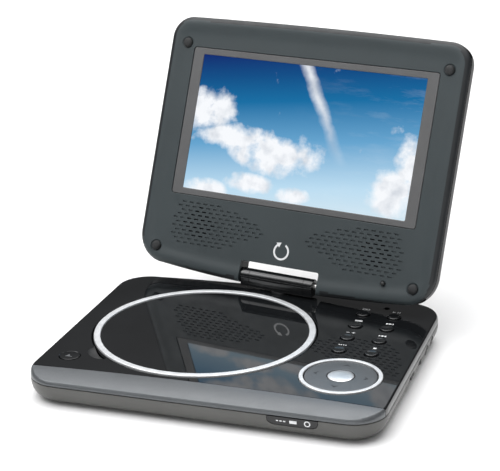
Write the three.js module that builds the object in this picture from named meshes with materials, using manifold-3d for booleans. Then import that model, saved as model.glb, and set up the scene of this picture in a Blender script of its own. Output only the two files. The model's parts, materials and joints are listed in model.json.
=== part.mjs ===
// Portable DVD player with a screen that tilts and swivels. Millimetres, +Z up.
// The origin is the centre of the base's flat underside, +Y points to the hinge at the back.
import * as THREE from 'three';
import { mergeVertices } from 'three/addons/utils/BufferGeometryUtils.js';
import Module from 'manifold-3d';

const wasm = await Module();
wasm.setup();

// ---------------------------------------------------------------- driving dimensions
const GAP = 0.3;                      // clearance between neighbouring pieces

const BASE_HALF_W = 103;              // base plan: half width
const BASE_FRONT = -85;               // base plan: front edge
const BASE_REAR = 81;                 // base plan: back edge at the corners
const BASE_REAR_BOW = 4;              // how far the back edge bows out at its middle
const BASE_CORNER_R = 20;
const SEAM_Z = 11;                    // height of the seam round the base
const DECK_Z = 16;                    // height of the deck
const DECK_T = 2;                     // thickness of the deck
const WALL = 2;                       // side walls of the base
const FLOOR_T = 2.4;                  // floor of the lower shell
const TUCK = 7.4;                     // how far the underside is tucked in
const TUCK_H = 10;                    // height over which it tucks in
const STRIP_Y = -66.4;                // line between deck and front strip, at its middle
const STRIP_BOW = 3.6;                // how far that line runs forward at the sides

const DISC_X = -24.1;                 // centre of the disc drive
const DISC_Y = 3.1;
const DISC_LID_R = 66;
const WELL_R = 66.6;
const WELL_WALL = 1.4;
const WELL_FLOOR_Z = 9.4;
const WELL_FLOOR_T = 1.2;
const RING_OUT = 65.4;
const RING_IN = 61.5;
const DISC_LID_T = 2.2;
const DISC_HINGE_Y = DISC_Y + DISC_LID_R - 5.5;
const DISC_HINGE_Z = 14.7;
const DISC_HINGE_HALF = Math.sqrt(DISC_LID_R ** 2 - (DISC_HINGE_Y - DISC_Y) ** 2);

const NAV_X = 69.2;                   // centre of the direction pad
const NAV_Y = -36.9;
const NAV_RING_OUT = 23.3;
const NAV_RING_IN = 20.9;
const NAV_PAD_R = 20.3;
const OK_R = 7.5;

const KEY_R = 4;                      // round keys in two columns
const KEY_COLUMNS = [59, 78];
const KEY_REAR_Y = 53.8;
const KEY_PITCH = 18.8;
const KEY_ROWS = 4;
const KEY_TOP_Z = 17;

const OPEN_X = -86.2;                 // disc door button
const OPEN_Y = -52.6;
const OPEN_R = 5.8;

const HINGE_Y = 75.4;                 // swivel axis and tilt axis cross here
const HINGE_Z = 23.5;
const SWIVEL_REST = 10.2;             // degrees, clockwise from above
const TILT_REST = 21.5;               // degrees, back from upright
const BARREL_R = 4.6;
const BARREL_LEFT = -25.9;
const BARREL_RIGHT = 24;
const BARREL_FOOT = -6;               // underside of the hinge block, from the tilt axis
const COLUMN_R = 5.4;
const PIN_R = 2.1;

const LID_SHIFT = 0.6;                // the lid sits this far right of the swivel axis
const LID_HALF_W = 102.4;             // screen lid, from the tilt axis: X across, Y up, Z to the front
const LID_BOTTOM = -1.4;
const LID_TOP = 158.4;
const LID_BOTTOM_BOW = 4;
const LID_TOP_BOW = 0.9;
const LID_CORNER_R = 19;              // lower corners
const LID_TOP_CORNER_R = 14;
const LID_FACE = 5.7;
const LID_PARTING = 3;
const LID_REAR = -6.3;
const LID_WALL = 1.8;
const WINDOW_W = 169.4;
const WINDOW_H = 95.1;
const SCREEN_Y = 91.7;                // middle of the screen above the tilt axis
const LCD_W = 154.08;
const LCD_H = 86.58;
const NOTCH_HALF = 27;
const NOTCH_TOP = 8.8;
const SPEAKER_X = 61;
const SPEAKER_Y = 27;
const SPEAKER_R = 12;
const SLOT_LENGTH = 3.4;
const SLOT_HEIGHT = 1;
const SLOT_PITCH_X = 5;
const SLOT_PITCH_Y = 2.6;
const BUMPER_R = 3.1;

const ROUND = 48;                     // sides of the large circles
const CORNER_STEPS = 5;               // steps in each rounded corner

// ---------------------------------------------------------------- materials
const material = (color, roughness, metalness = 0) =>
  new THREE.MeshStandardMaterial({ color, roughness, metalness });

const PIANO_BLACK = material(0x101112, 0.08);
const SLATE = material(0x3a4244, 0.55);
const SATIN_GREY = material(0x84898c, 0.35, 0.3);
const WARM_GREY = material(0x50504c, 0.45);
const SILVER = material(0xd8dadc, 0.25, 0.8);
const BORDER_GREY = material(0x696a6a, 0.5);
const PAD_GREY = material(0x62666a, 0.4);
const SCREEN_BLUE = material(0x2d6fb5, 0.15);
const RUBBER = material(0x18191a, 0.9);
const STEEL = material(0xb4b6b8, 0.3, 1);
const BOARD_GREEN = material(0x1f5a38, 0.6);
const PLASTIC_BLACK = material(0x1c1d1e, 0.5);
const SMOKED = material(0x0c0d0e, 0.1);
const CELL_BLUE = material(0x27406a, 0.5);
const GEAR_WHITE = material(0xe6e3da, 0.5);

// ---------------------------------------------------------------- solids
// A closed three.js geometry becomes a solid that can be cut and joined.
function solid(geometry) {
  const bare = geometry.clone();
  bare.deleteAttribute('normal');
  bare.deleteAttribute('uv');
  const merged = mergeVertices(bare, 1e-4);
  const index = merged.index.array;
  const kept = [];
  for (let i = 0; i < index.length; i += 3) {
    const [a, b, c] = [index[i], index[i + 1], index[i + 2]];
    if (a !== b && b !== c && c !== a) kept.push(a, b, c);
  }
  return new wasm.Manifold(new wasm.Mesh({
    numProp: 3,
    vertProperties: new Float32Array(merged.attributes.position.array),
    triVerts: new Uint32Array(kept),
  }));
}

function geometryOf(shape) {
  const mesh = shape.getMesh();
  const positions = new Float32Array((mesh.vertProperties.length / mesh.numProp) * 3);
  for (let i = 0; i < positions.length / 3; i += 1) {
    for (let axis = 0; axis < 3; axis += 1) {
      positions[3 * i + axis] = mesh.vertProperties[mesh.numProp * i + axis];
    }
  }
  const geometry = new THREE.BufferGeometry();
  geometry.setAttribute('position', new THREE.BufferAttribute(positions, 3));
  geometry.setIndex(new THREE.BufferAttribute(new Uint32Array(mesh.triVerts), 1));
  geometry.computeVertexNormals();
  return geometry;
}

// A box from its low corner to its high corner.
function box(x0, x1, y0, y1, z0, z1) {
  const geometry = new THREE.BoxGeometry(x1 - x0, y1 - y0, z1 - z0);
  return solid(geometry.translate((x0 + x1) / 2, (y0 + y1) / 2, (z0 + z1) / 2));
}

// An upright cylinder.
function disc(x, y, radius, z0, z1, segments = 32) {
  const geometry = new THREE.CylinderGeometry(radius, radius, z1 - z0, segments);
  return solid(geometry.rotateX(Math.PI / 2).translate(x, y, (z0 + z1) / 2));
}

// A cylinder lying along X.
function rod(x0, x1, y, z, radius, segments = 24) {
  const geometry = new THREE.CylinderGeometry(radius, radius, x1 - x0, segments);
  return solid(geometry.rotateZ(Math.PI / 2).translate((x0 + x1) / 2, y, z));
}

// A turned piece about an upright axis, from [radius, height] points that start and end on the axis.
function turned(x, y, points, segments = 32) {
  const profile = points.map(([r, z]) => new THREE.Vector2(r, z));
  const geometry = new THREE.LatheGeometry(profile, segments);
  return solid(geometry.rotateX(Math.PI / 2).translate(x, y, 0));
}

// A ring of rectangular section with a broken top edge.
function ring(x, y, inner, outer, z0, z1, chamfer, segments) {
  const outside = turned(x, y, [
    [0, z0], [outer, z0], [outer, z1 - chamfer], [outer - chamfer, z1], [0, z1],
  ], segments);
  return outside.subtract(disc(x, y, inner, z0 - 1, z1 + 1, segments));
}

// Rounded outline whose lower and upper edges bow outwards.
function outline(half, low, high, radius, lowBow, highBow, inset = 0, topRadius = radius) {
  const w = half - inset;
  const y0 = low + inset;
  const y1 = high - inset;
  const r = radius - inset;
  const q = topRadius - inset;
  const shape = new THREE.Shape();
  shape.moveTo(-w + r, y0);
  shape.quadraticCurveTo(0, y0 - 2 * lowBow, w - r, y0);
  shape.absarc(w - r, y0 + r, r, -Math.PI / 2, 0, false);
  shape.lineTo(w, y1 - q);
  shape.absarc(w - q, y1 - q, q, 0, Math.PI / 2, false);
  shape.quadraticCurveTo(0, y1 + 2 * highBow, -w + q, y1);
  shape.absarc(-w + q, y1 - q, q, Math.PI / 2, Math.PI, false);
  shape.lineTo(-w, y0 + r);
  shape.absarc(-w + r, y0 + r, r, Math.PI, 1.5 * Math.PI, false);
  return shape;
}

const baseOutline = (inset) =>
  outline(BASE_HALF_W, BASE_FRONT, BASE_REAR, BASE_CORNER_R, 0, BASE_REAR_BOW, inset);
const lidOutline = (inset) => outline(LID_HALF_W, LID_BOTTOM, LID_TOP, LID_CORNER_R,
  LID_BOTTOM_BOW, LID_TOP_BOW, inset, LID_TOP_CORNER_R);

// A slab of an outline between two heights, with straight sides.
function slab(shape, z0, z1, curveSegments = CORNER_STEPS) {
  const geometry = new THREE.ExtrudeGeometry(shape, {
    depth: z1 - z0, bevelEnabled: false, curveSegments,
  });
  return solid(geometry.translate(0, 0, z0));
}

// A slab whose two faces are rounded in by `size` over a height `thickness`.
function pillow(shape, z0, z1, size, thickness, steps) {
  const geometry = new THREE.ExtrudeGeometry(shape, {
    depth: z1 - z0 - 2 * thickness,
    bevelEnabled: true,
    bevelThickness: thickness,
    bevelSize: size,
    bevelOffset: -size,
    bevelSegments: steps,
    curveSegments: CORNER_STEPS,
  });
  return solid(geometry.translate(0, 0, z0 + thickness));
}

// A profile in the Y-Z plane, drawn along X.
function along(points, x0, x1) {
  const shape = new THREE.Shape(points.map(([y, z]) => new THREE.Vector2(y, z)));
  const geometry = new THREE.ExtrudeGeometry(shape, { depth: x1 - x0, bevelEnabled: false });
  geometry.rotateY(Math.PI / 2).rotateX(Math.PI / 2);
  return solid(geometry.translate(x0, 0, 0));
}

const union = (first, ...rest) => rest.reduce((sum, piece) => sum.add(piece), first);
const cut = (body, ...tools) => tools.reduce((left, tool) => left.subtract(tool), body);

function named(name, shape, look) {
  const mesh = new THREE.Mesh(geometryOf(shape), look);
  mesh.name = name;
  return mesh;
}

// ---------------------------------------------------------------- groups that move
const group = new THREE.Group();
const swivel = new THREE.Group();
swivel.position.set(0, HINGE_Y, 0);
swivel.rotation.z = THREE.MathUtils.degToRad(-SWIVEL_REST);
group.add(swivel);
const lid = new THREE.Group();
lid.position.set(LID_SHIFT, 0, HINGE_Z);
lid.rotation.x = THREE.MathUtils.degToRad(90 - TILT_REST);
swivel.add(lid);

// ---------------------------------------------------------------- base casing
const JACK_Z = 7;
const JACK_R = 2.9;
const RIGHT_JACKS = { headphone_jack: 32, av_jack: 46 };
const LEFT_JACK_Y = 48;
const VOLUME = { x: 95, y: 14, r: 8.2, z0: 5.9, z1: 8.3 };
const POWER = { y: -8, half: 4, travel: 3, z0: 6.2, z1: 8.6 };
const FOOT = { x: 84, rear: 58, front: -62, r: 5, sunk: 0.8, proud: 1.2 };
const DOOR = { x0: 46, x1: 90, y0: -40, y1: 48, depth: 1.5, ledge: 2 };
const FEET = {
  foot_front_left: [-FOOT.x, FOOT.front],
  foot_front_right: [FOOT.x, FOOT.front],
  foot_rear_left: [-FOOT.x, FOOT.rear],
  foot_rear_right: [FOOT.x, FOOT.rear],
};

// The smoked window is a flap of the front wall: wide at the seam, narrower below.
const WINDOW_X = 55.5;
function windowPrism(grow) {
  const shape = new THREE.Shape();
  shape.moveTo(WINDOW_X - 14 - grow, SEAM_Z + 1);
  shape.lineTo(WINDOW_X - 14 - grow, 9.4);
  shape.quadraticCurveTo(WINDOW_X - 13 - grow, 6 - grow, WINDOW_X - 9 - grow, 6 - grow);
  shape.lineTo(WINDOW_X + 9 + grow, 6 - grow);
  shape.quadraticCurveTo(WINDOW_X + 13 + grow, 6 - grow, WINDOW_X + 14 + grow, 9.4);
  shape.lineTo(WINDOW_X + 14 + grow, SEAM_Z + 1);
  const geometry = new THREE.ExtrudeGeometry(shape, { depth: 12, bevelEnabled: false, curveSegments: 5 });
  return solid(geometry.rotateX(Math.PI / 2).translate(0, BASE_FRONT + 8, 0));
}

const tucked = (inset, bottom) => cut(
  pillow(baseOutline(inset), bottom, bottom + 30, TUCK, TUCK_H, 4),
  box(-200, 200, -200, 200, SEAM_Z, 60),
);

function lowerShell() {
  const skin = tucked(0, 0);
  const hollow = pillow(baseOutline(WALL), FLOOR_T, FLOOR_T + 30, TUCK - 1, TUCK_H - 1.5, 3);
  const windowSeat = windowPrism(GAP).subtract(slab(baseOutline(WALL - 0.4), 0, 20));
  const jacks = Object.values(RIGHT_JACKS).map((y) => rod(90, 110, y, JACK_Z, JACK_R + GAP, 16));
  const { ledge } = DOOR;
  const powerReach = POWER.half + POWER.travel / 2 + GAP;
  const pockets = Object.values(FEET).map(([x, y]) => disc(x, y, FOOT.r + GAP, -1, FOOT.sunk, 20));
  return cut(
    skin, hollow, windowSeat, ...jacks, ...pockets,
    rod(-110, -90, LEFT_JACK_Y, JACK_Z, JACK_R + GAP, 16),
    disc(VOLUME.x, VOLUME.y, VOLUME.r + 0.5, VOLUME.z0 - GAP, VOLUME.z1 + GAP, 40),
    box(90, 110, POWER.y - powerReach, POWER.y + powerReach, POWER.z0 - GAP, POWER.z1 + GAP),
    box(DOOR.x0, DOOR.x1, DOOR.y0, DOOR.y1, -1, DOOR.depth),
    box(DOOR.x0 + ledge, DOOR.x1 - ledge, DOOR.y0 + ledge, DOOR.y1 - ledge, -1, FLOOR_T + 1),
  );
}

function batteryCover() {
  return box(DOOR.x0 + GAP, DOOR.x1 - GAP, DOOR.y0 + GAP, DOOR.y1 - GAP, 0, DOOR.depth - GAP);
}

function indicatorWindow() {
  const outer = cut(tucked(0.1, 0), slab(baseOutline(WALL - 0.9), 0, 20));
  return windowPrism(0).intersect(outer).subtract(box(-200, 200, -200, 0, SEAM_Z - 0.2, 20));
}

const deckSkin = () => pillow(baseOutline(0), SEAM_Z + GAP - 8, DECK_Z, 1.6, 3, 3)
  .subtract(box(-200, 200, -200, 200, -20, SEAM_Z + GAP));

// Everything in front of the line between the deck and the front strip.
function frontOf(shift) {
  const half = 120;
  const shape = new THREE.Shape();
  const sideY = STRIP_Y - STRIP_BOW * (half / BASE_HALF_W) ** 2 + shift;
  shape.moveTo(-half, -150);
  shape.lineTo(half, -150);
  shape.lineTo(half, sideY);
  shape.quadraticCurveTo(0, 2 * (STRIP_Y + shift) - sideY, -half, sideY);
  return slab(shape, -5, 40, 12);
}

// The finger scoop beside the disc door.
function fingerScoop(grow) {
  const geometry = new THREE.SphereGeometry(1, 14, 8);
  geometry.scale(9.5 + grow, 6.2 + grow, 3.6 + grow).rotateZ(THREE.MathUtils.degToRad(-45));
  return solid(geometry.translate(DISC_X - 47.5, DISC_Y - 47.5, DECK_Z + 0.9));
}

const LATCH_ANGLE = THREE.MathUtils.degToRad(222);
const latchDirection = [Math.cos(LATCH_ANGLE), Math.sin(LATCH_ANGLE)];

// A box laid out along the latch's direction: distances from the middle of the disc drive.
function latchBox(r0, r1, halfWidth, z0, z1) {
  const geometry = new THREE.BoxGeometry(r1 - r0, 2 * halfWidth, z1 - z0);
  geometry.translate((r0 + r1) / 2, 0, (z0 + z1) / 2).rotateZ(LATCH_ANGLE);
  return solid(geometry.translate(DISC_X, DISC_Y, 0));
}

const keyPlaces = [];
for (let row = 0; row < KEY_ROWS; row += 1) {
  for (const x of KEY_COLUMNS) keyPlaces.push([x, KEY_REAR_Y - row * KEY_PITCH]);
}

const PICKUP = { r0: 24, r1: 36, half: 13.5, rodY: 16.3, rodZ: 5.9, rodR: 1.1 };
const PICKUP_SLOT = [17, 64.8];       // its slot in the well floor, from the middle of the disc

function topDeck() {
  const hollow = slab(baseOutline(WALL), 0, DECK_Z - DECK_T);
  const shell = deckSkin().subtract(hollow);
  const wellFloor = WELL_FLOOR_Z - WELL_FLOOR_T;
  const cup = disc(DISC_X, DISC_Y, WELL_R + WELL_WALL, wellFloor, DECK_Z - 0.5, ROUND);
  const bosses = box(DISC_X - 34, DISC_X + 34, DISC_HINGE_Y - 2.4, DISC_HINGE_Y + 2.6, 12.6, DECK_Z - 1)
    .subtract(box(DISC_X - 23, DISC_X + 23, 0, 80, 0, 20));
  const scoopPad = fingerScoop(1.4).intersect(box(-200, 200, -200, 200, 0, DECK_Z - 1));
  const body = union(shell, cup, bosses, scoopPad).subtract(frontOf(GAP));
  const pickupSlot = box(DISC_X + PICKUP_SLOT[0], DISC_X + PICKUP_SLOT[1],
    DISC_Y - 14.5, DISC_Y + 14.5, 0, WELL_FLOOR_Z + 1);
  const pinHoles = rod(DISC_X - DISC_HINGE_HALF - 5, DISC_X + DISC_HINGE_HALF + 5,
    DISC_HINGE_Y, DISC_HINGE_Z, 1, 16);
  const holes = keyPlaces.map(([x, y]) => disc(x, y, KEY_R + GAP, 5, 30, 14));
  return cut(
    body,
    disc(DISC_X, DISC_Y, WELL_R, WELL_FLOOR_Z, 30, ROUND),
    pinHoles,
    disc(DISC_X, DISC_Y, 2.4, 0, 30, 16),
    pickupSlot,
    fingerScoop(0),
    latchBox(60, 72, 3.4, 9.6, 11.9),
    ...holes,
    disc(OPEN_X, OPEN_Y, OPEN_R + GAP, 5, 30, 20),
    disc(NAV_X, NAV_Y, NAV_RING_IN - 0.2, 5, 30, 32),
    disc(NAV_X, NAV_Y, NAV_RING_OUT + GAP, DECK_Z - 0.7, 30, 32),
    disc(0, HINGE_Y, COLUMN_R + GAP, 5, 30, 28),
    disc(70.5, 66.5, 1.9, DECK_Z - 1.2, 30, 16),
  );
}

// The front strip falls away in a soft curve from the deck to the seam.
function frontStrip() {
  const top = [];
  const steps = 6;
  for (let i = 0; i <= steps; i += 1) {
    const t = i / steps;
    top.push([STRIP_Y + 2 - t * (STRIP_Y + 2 - BASE_FRONT + 1), DECK_Z - 3.9 * t ** 2.2]);
  }
  const profile = [...top, [BASE_FRONT - 1, SEAM_Z - 2], [STRIP_Y + 2, SEAM_Z - 2]];
  const fallen = along(profile, -120, 120);
  const hollow = slab(baseOutline(WALL), 0, DECK_Z - DECK_T - 2.3);
  return deckSkin().intersect(fallen).intersect(frontOf(0)).subtract(hollow);
}

group.add(
  named('lower_shell', lowerShell(), WARM_GREY),
  named('battery_cover', batteryCover(), WARM_GREY),
  named('indicator_window', indicatorWindow(), SMOKED),
  named('top_deck', topDeck(), PIANO_BLACK),
  named('front_strip', frontStrip(), SATIN_GREY),
);
for (const [name, [x, y]] of Object.entries(FEET)) {
  const foot = turned(x, y, [
    [0, -FOOT.proud], [FOOT.r - 0.6, -FOOT.proud], [FOOT.r, -FOOT.proud + 0.6],
    [FOOT.r, FOOT.sunk - GAP], [0, FOOT.sunk - GAP],
  ], 20);
  group.add(named(name, foot, RUBBER));
}

// ---------------------------------------------------------------- disc door
function discLid() {
  const bottom = DECK_Z - DISC_LID_T;
  const plate = turned(DISC_X, DISC_Y, [
    [0, bottom], [DISC_LID_R, bottom], [DISC_LID_R, DECK_Z - 0.4], [DISC_LID_R - 0.4, DECK_Z], [0, DECK_Z],
  ], ROUND);
  const seat = disc(DISC_X, DISC_Y, RING_OUT + 0.2, DECK_Z - 0.8, 20, ROUND)
    .subtract(disc(DISC_X, DISC_Y, RING_IN - 0.2, 10, 25, ROUND));
  const clamp = disc(DISC_X, DISC_Y, 15, bottom - 0.35, bottom + 0.5, 24)
    .subtract(disc(DISC_X, DISC_Y, 9, 0, 30, 24));
  const pins = rod(DISC_X - DISC_HINGE_HALF - 3.5, DISC_X + DISC_HINGE_HALF + 3.5,
    DISC_HINGE_Y, DISC_HINGE_Z, 0.7, 16);
  const hook = union(latchBox(61.5, 63, 2.4, 10, bottom + 0.5), latchBox(61.5, 64.6, 2.4, 10, 11));
  // The top edge swings back beside the pins, so its corners are relieved there.
  const reliefs = [-1, 1].map((side) => box(DISC_X + side * 27.5 - 3.5, DISC_X + side * 27.5 + 3.5,
    DISC_HINGE_Y - 1.6, DISC_HINGE_Y + 3, DECK_Z - 1.2, DECK_Z + 1));
  return union(cut(plate, seat, ...reliefs), clamp, pins, hook);
}

const discRing = ring(DISC_X, DISC_Y, RING_IN, RING_OUT, DECK_Z - 0.5, DECK_Z + 0.7, 0.5, ROUND);
group.add(
  named('disc_lid', discLid(), PIANO_BLACK),
  named('disc_ring', discRing, SILVER),
);

// The latch's tooth stands just clear of the hook, and the button's wedge draws it back.
function latchSlider() {
  return union(
    latchBox(65.2, 70, 2.6, 9.9, 11.6),
    latchBox(69.5, 80, 4, 9.9, 11.6),
  );
}

function openButton() {
  return union(
    turned(OPEN_X, OPEN_Y, [
      [0, 13.2], [OPEN_R, 13.2], [OPEN_R, DECK_Z], [OPEN_R - 0.3, DECK_Z + 0.3], [0, DECK_Z + 0.3],
    ], 20),
    disc(OPEN_X, OPEN_Y, 1.5, 12.2, 13.5, 8),
  );
}

group.add(
  named('latch_slider', latchSlider(), PLASTIC_BLACK),
  named('open_button', openButton(), PIANO_BLACK),
);

// ---------------------------------------------------------------- keys and direction pad
const PCB_TOP = 11.7;
function keyCap([x, y]) {
  return union(
    turned(x, y, [
      [0, 13.1], [KEY_R, 13.1], [KEY_R, KEY_TOP_Z - 0.5], [KEY_R - 0.6, KEY_TOP_Z - 0.1], [0, KEY_TOP_Z],
    ], 14),
    disc(x, y, 1.4, PCB_TOP + 0.9, 13.3, 6),
  );
}
keyPlaces.forEach((place, i) => group.add(named(`key_${i + 1}`, keyCap(place), PIANO_BLACK)));

function navPad() {
  const pad = turned(NAV_X, NAV_Y, [
    [0, 14.4], [NAV_PAD_R, 14.4], [NAV_PAD_R, DECK_Z - 0.1], [NAV_PAD_R - 0.6, DECK_Z + 0.3],
    [NAV_PAD_R / 2, DECK_Z + 0.5], [0, DECK_Z + 0.5],
  ], 32);
  return pad.subtract(disc(NAV_X, NAV_Y, OK_R + 0.4, 10, 20, 24));
}

function okButton() {
  return union(
    turned(NAV_X, NAV_Y, [
      [0, 13.6], [OK_R, 13.6], [OK_R, DECK_Z + 0.3], [OK_R - 0.7, DECK_Z + 0.75], [0, DECK_Z + 0.9],
    ], 24),
    disc(NAV_X, NAV_Y, 1.6, PCB_TOP + 0.8, 13.8, 8),
  );
}

const navRing = ring(NAV_X, NAV_Y, NAV_RING_IN, NAV_RING_OUT, DECK_Z - 0.4, DECK_Z + 0.7, 0.4, 32);
group.add(
  named('nav_ring', navRing, SILVER),
  named('nav_pad', navPad(), PAD_GREY),
  named('nav_gimbal', ring(NAV_X, NAV_Y, 8.2, 11, 12.6, 13.4, 0.2, 24), PLASTIC_BLACK),
  named('ok_button', okButton(), SILVER),
  named('key_board', cut(
    box(50, 96, -58, 62, PCB_TOP - 1.2, PCB_TOP),
    box(44, 52, -70, -50, 5, 15),
  ), BOARD_GREEN),
);

// ---------------------------------------------------------------- disc drive
const CHASSIS_Z = 2.8;
const CHASSIS_T = 1;
const RACK = { module: 0.8, teeth: 12, z0: 6.3, z1: 7.7, y: 22.6 };
RACK.pitch = Math.PI * RACK.module;
RACK.radius = (RACK.module * RACK.teeth) / 2;
const GEAR_X = DISC_X + 31;
const GEAR_Y = DISC_Y + RACK.y + RACK.radius;
const RACK_LOW = -29;                 // rack ends, from the middle of the pickup
const RACK_HIGH = 12;
const PICKUP_X = DISC_X + (PICKUP.r0 + PICKUP.r1) / 2;

function driveChassis() {
  const x0 = DISC_X - 18;
  const x1 = DISC_X + 70;
  const plate = box(x0, x1, DISC_Y - 21, DISC_Y + 36, CHASSIS_Z, CHASSIS_Z + CHASSIS_T);
  const blocks = [-1, 1].flatMap((side) => [DISC_X + 13, x1 - 4.5].map((x) => box(
    x, x + 3.5, DISC_Y + side * PICKUP.rodY - 2.4, DISC_Y + side * PICKUP.rodY + 2.4, CHASSIS_Z + 0.5, 7.6,
  )));
  const bores = [-1, 1].map((side) => rod(DISC_X + 10, x1 + 5, DISC_Y + side * PICKUP.rodY,
    PICKUP.rodZ, PICKUP.rodR + GAP, 14));
  return cut(
    union(plate, ...blocks), ...bores,
    box(DISC_X + 19, DISC_X + 63, DISC_Y - 11, DISC_Y + 11, 0, 5),
  );
}

// Straight-flanked teeth, narrower than half the pitch so that they run with play.
function toothProfile() {
  const { module: m, pitch } = RACK;
  return { root: -1.1 * m, tip: 0.85 * m, rootHalf: 0.28 * pitch, tipHalf: 0.12 * pitch };
}

function pickup() {
  const { root, tip, rootHalf, tipHalf } = toothProfile();
  const x0 = PICKUP_X + RACK_LOW;
  const x1 = PICKUP_X + RACK_HIGH;
  const baseY = DISC_Y + RACK.y + root;
  const shape = new THREE.Shape();
  shape.moveTo(x0, DISC_Y + PICKUP.rodY + 2.7);
  shape.lineTo(x1, DISC_Y + PICKUP.rodY + 2.7);
  shape.lineTo(x1, baseY);
  // A rack tooth sits opposite the gap of the gear at the gear's own X.
  const lastTooth = Math.floor((x1 - GEAR_X - 1) / RACK.pitch);
  const firstTooth = Math.ceil((x0 - GEAR_X + 1) / RACK.pitch);
  for (let k = lastTooth; k >= firstTooth; k -= 1) {
    const x = GEAR_X + k * RACK.pitch;
    shape.lineTo(x + rootHalf, baseY);
    shape.lineTo(x + tipHalf, baseY + tip - root);
    shape.lineTo(x - tipHalf, baseY + tip - root);
    shape.lineTo(x - rootHalf, baseY);
  }
  shape.lineTo(x0, baseY);
  const rack = slab(shape, RACK.z0, RACK.z1, 1);
  const body = box(DISC_X + PICKUP.r0, DISC_X + PICKUP.r1,
    DISC_Y - PICKUP.half, DISC_Y + PICKUP.half, 4.4, WELL_FLOOR_Z + 1.6);
  const ears = box(DISC_X + PICKUP.r0, DISC_X + PICKUP.r1,
    DISC_Y - PICKUP.rodY - 2.8, DISC_Y + PICKUP.rodY + 2.8, 4.1, 7.7);
  const lens = disc(PICKUP_X, DISC_Y, 3, WELL_FLOOR_Z + 1.4, WELL_FLOOR_Z + 2.1, 16);
  const bores = [-1, 1].map((side) => rod(DISC_X, DISC_X + 70, DISC_Y + side * PICKUP.rodY,
    PICKUP.rodZ, PICKUP.rodR + GAP, 14));
  return cut(union(body, ears, rack, lens), ...bores);
}

function sledGear() {
  const { root, tip, rootHalf, tipHalf } = toothProfile();
  const shape = new THREE.Shape();
  for (let k = 0; k < RACK.teeth; k += 1) {
    // The gear's gap faces the rack, so its teeth start half a pitch round.
    const middle = -Math.PI / 2 + ((k + 0.5) * 2 * Math.PI) / RACK.teeth;
    const corners = [
      [RACK.radius + root, -rootHalf], [RACK.radius + tip, -tipHalf],
      [RACK.radius + tip, tipHalf], [RACK.radius + root, rootHalf],
    ];
    corners.forEach(([r, width], i) => {
      const angle = middle + width / RACK.radius;
      const point = [GEAR_X + r * Math.cos(angle), GEAR_Y + r * Math.sin(angle)];
      if (k === 0 && i === 0) shape.moveTo(...point);
      else shape.lineTo(...point);
    });
  }
  return slab(shape, RACK.z0, RACK.z1, 1).subtract(disc(GEAR_X, GEAR_Y, 1.2, 0, 20, 12));
}

function spindleMotor() {
  const top = 7.6;
  return union(
    disc(DISC_X, DISC_Y, 10.5, CHASSIS_Z + CHASSIS_T + GAP, top, 28),
    disc(DISC_X, DISC_Y, 1, top - 0.5, 12.4, 12),
  );
}

function discHub() {
  return turned(DISC_X, DISC_Y, [
    [0, 9.8], [13, 9.8], [13, 11.4], [7.4, 11.4], [7.4, 12.6], [6.2, 13.4], [0, 13.4],
  ], 28).subtract(disc(DISC_X, DISC_Y, 1.3, 0, 12.8, 12));
}

function sledMotor() {
  return union(
    disc(GEAR_X, GEAR_Y, 7, CHASSIS_Z + CHASSIS_T + GAP, 5.9, 24),
    disc(GEAR_X, GEAR_Y, 0.9, 5.5, RACK.z1, 12),
  );
}

group.add(
  named('drive_chassis', driveChassis(), STEEL),
  named('spindle_motor', spindleMotor(), STEEL),
  named('disc_hub', discHub(), PLASTIC_BLACK),
  named('pickup', pickup(), PLASTIC_BLACK),
  named('sled_gear', sledGear(), GEAR_WHITE),
  named('sled_motor', sledMotor(), STEEL),
);
for (const [name, side] of [['guide_rod_front', -1], ['guide_rod_rear', 1]]) {
  group.add(named(name, rod(DISC_X + 13, DISC_X + 70.5, DISC_Y + side * PICKUP.rodY,
    PICKUP.rodZ, PICKUP.rodR, 14), STEEL));
}

// ---------------------------------------------------------------- electronics and sockets
function jack(side, y) {
  const wall = side * (BASE_HALF_W - 0.7);
  const inner = side * (BASE_HALF_W - 15);
  const [x0, x1] = [Math.min(wall, inner), Math.max(wall, inner)];
  const collar = rod(x0, x1, y, JACK_Z, JACK_R, 16);
  const bodyEnd = side * (BASE_HALF_W - 6.5);
  const body = box(Math.min(bodyEnd, inner), Math.max(bodyEnd, inner), y - 4, y + 4, 3.6, 10);
  const mouth = side * (BASE_HALF_W - 10);
  return union(collar, body)
    .subtract(rod(Math.min(mouth, side * 110), Math.max(mouth, side * 110), y, JACK_Z, 1.75, 14));
}

group.add(
  named('battery_pack', box(49, 86, -37, 45, FLOOR_T + GAP, 8.4), CELL_BLUE),
  named('main_board', box(-93, -48, -60, 44, 3.2, 4.4), BOARD_GREEN),
  named('dc_jack', jack(-1, LEFT_JACK_Y), PLASTIC_BLACK),
);
for (const [name, y] of Object.entries(RIGHT_JACKS)) group.add(named(name, jack(1, y), PLASTIC_BLACK));

function volumeWheel() {
  const wheel = disc(VOLUME.x, VOLUME.y, VOLUME.r, VOLUME.z0, VOLUME.z1, 40);
  return wheel.subtract(disc(VOLUME.x, VOLUME.y, 1.2, 0, 20, 12));
}

// The knob stands at the "on" end of its slot.
function powerSwitch() {
  const y = POWER.y + POWER.travel / 2;
  return union(
    box(BASE_HALF_W - 4.8, BASE_HALF_W + 0.1, y - POWER.half, y + POWER.half, POWER.z0, POWER.z1),
    box(BASE_HALF_W - 8, BASE_HALF_W - 4.6, y - POWER.half + 1, y + POWER.half - 1, 5.4, 9.4),
  );
}

group.add(
  named('volume_wheel', volumeWheel(), PLASTIC_BLACK),
  named('power_switch', powerSwitch(), PLASTIC_BLACK),
);

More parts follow.
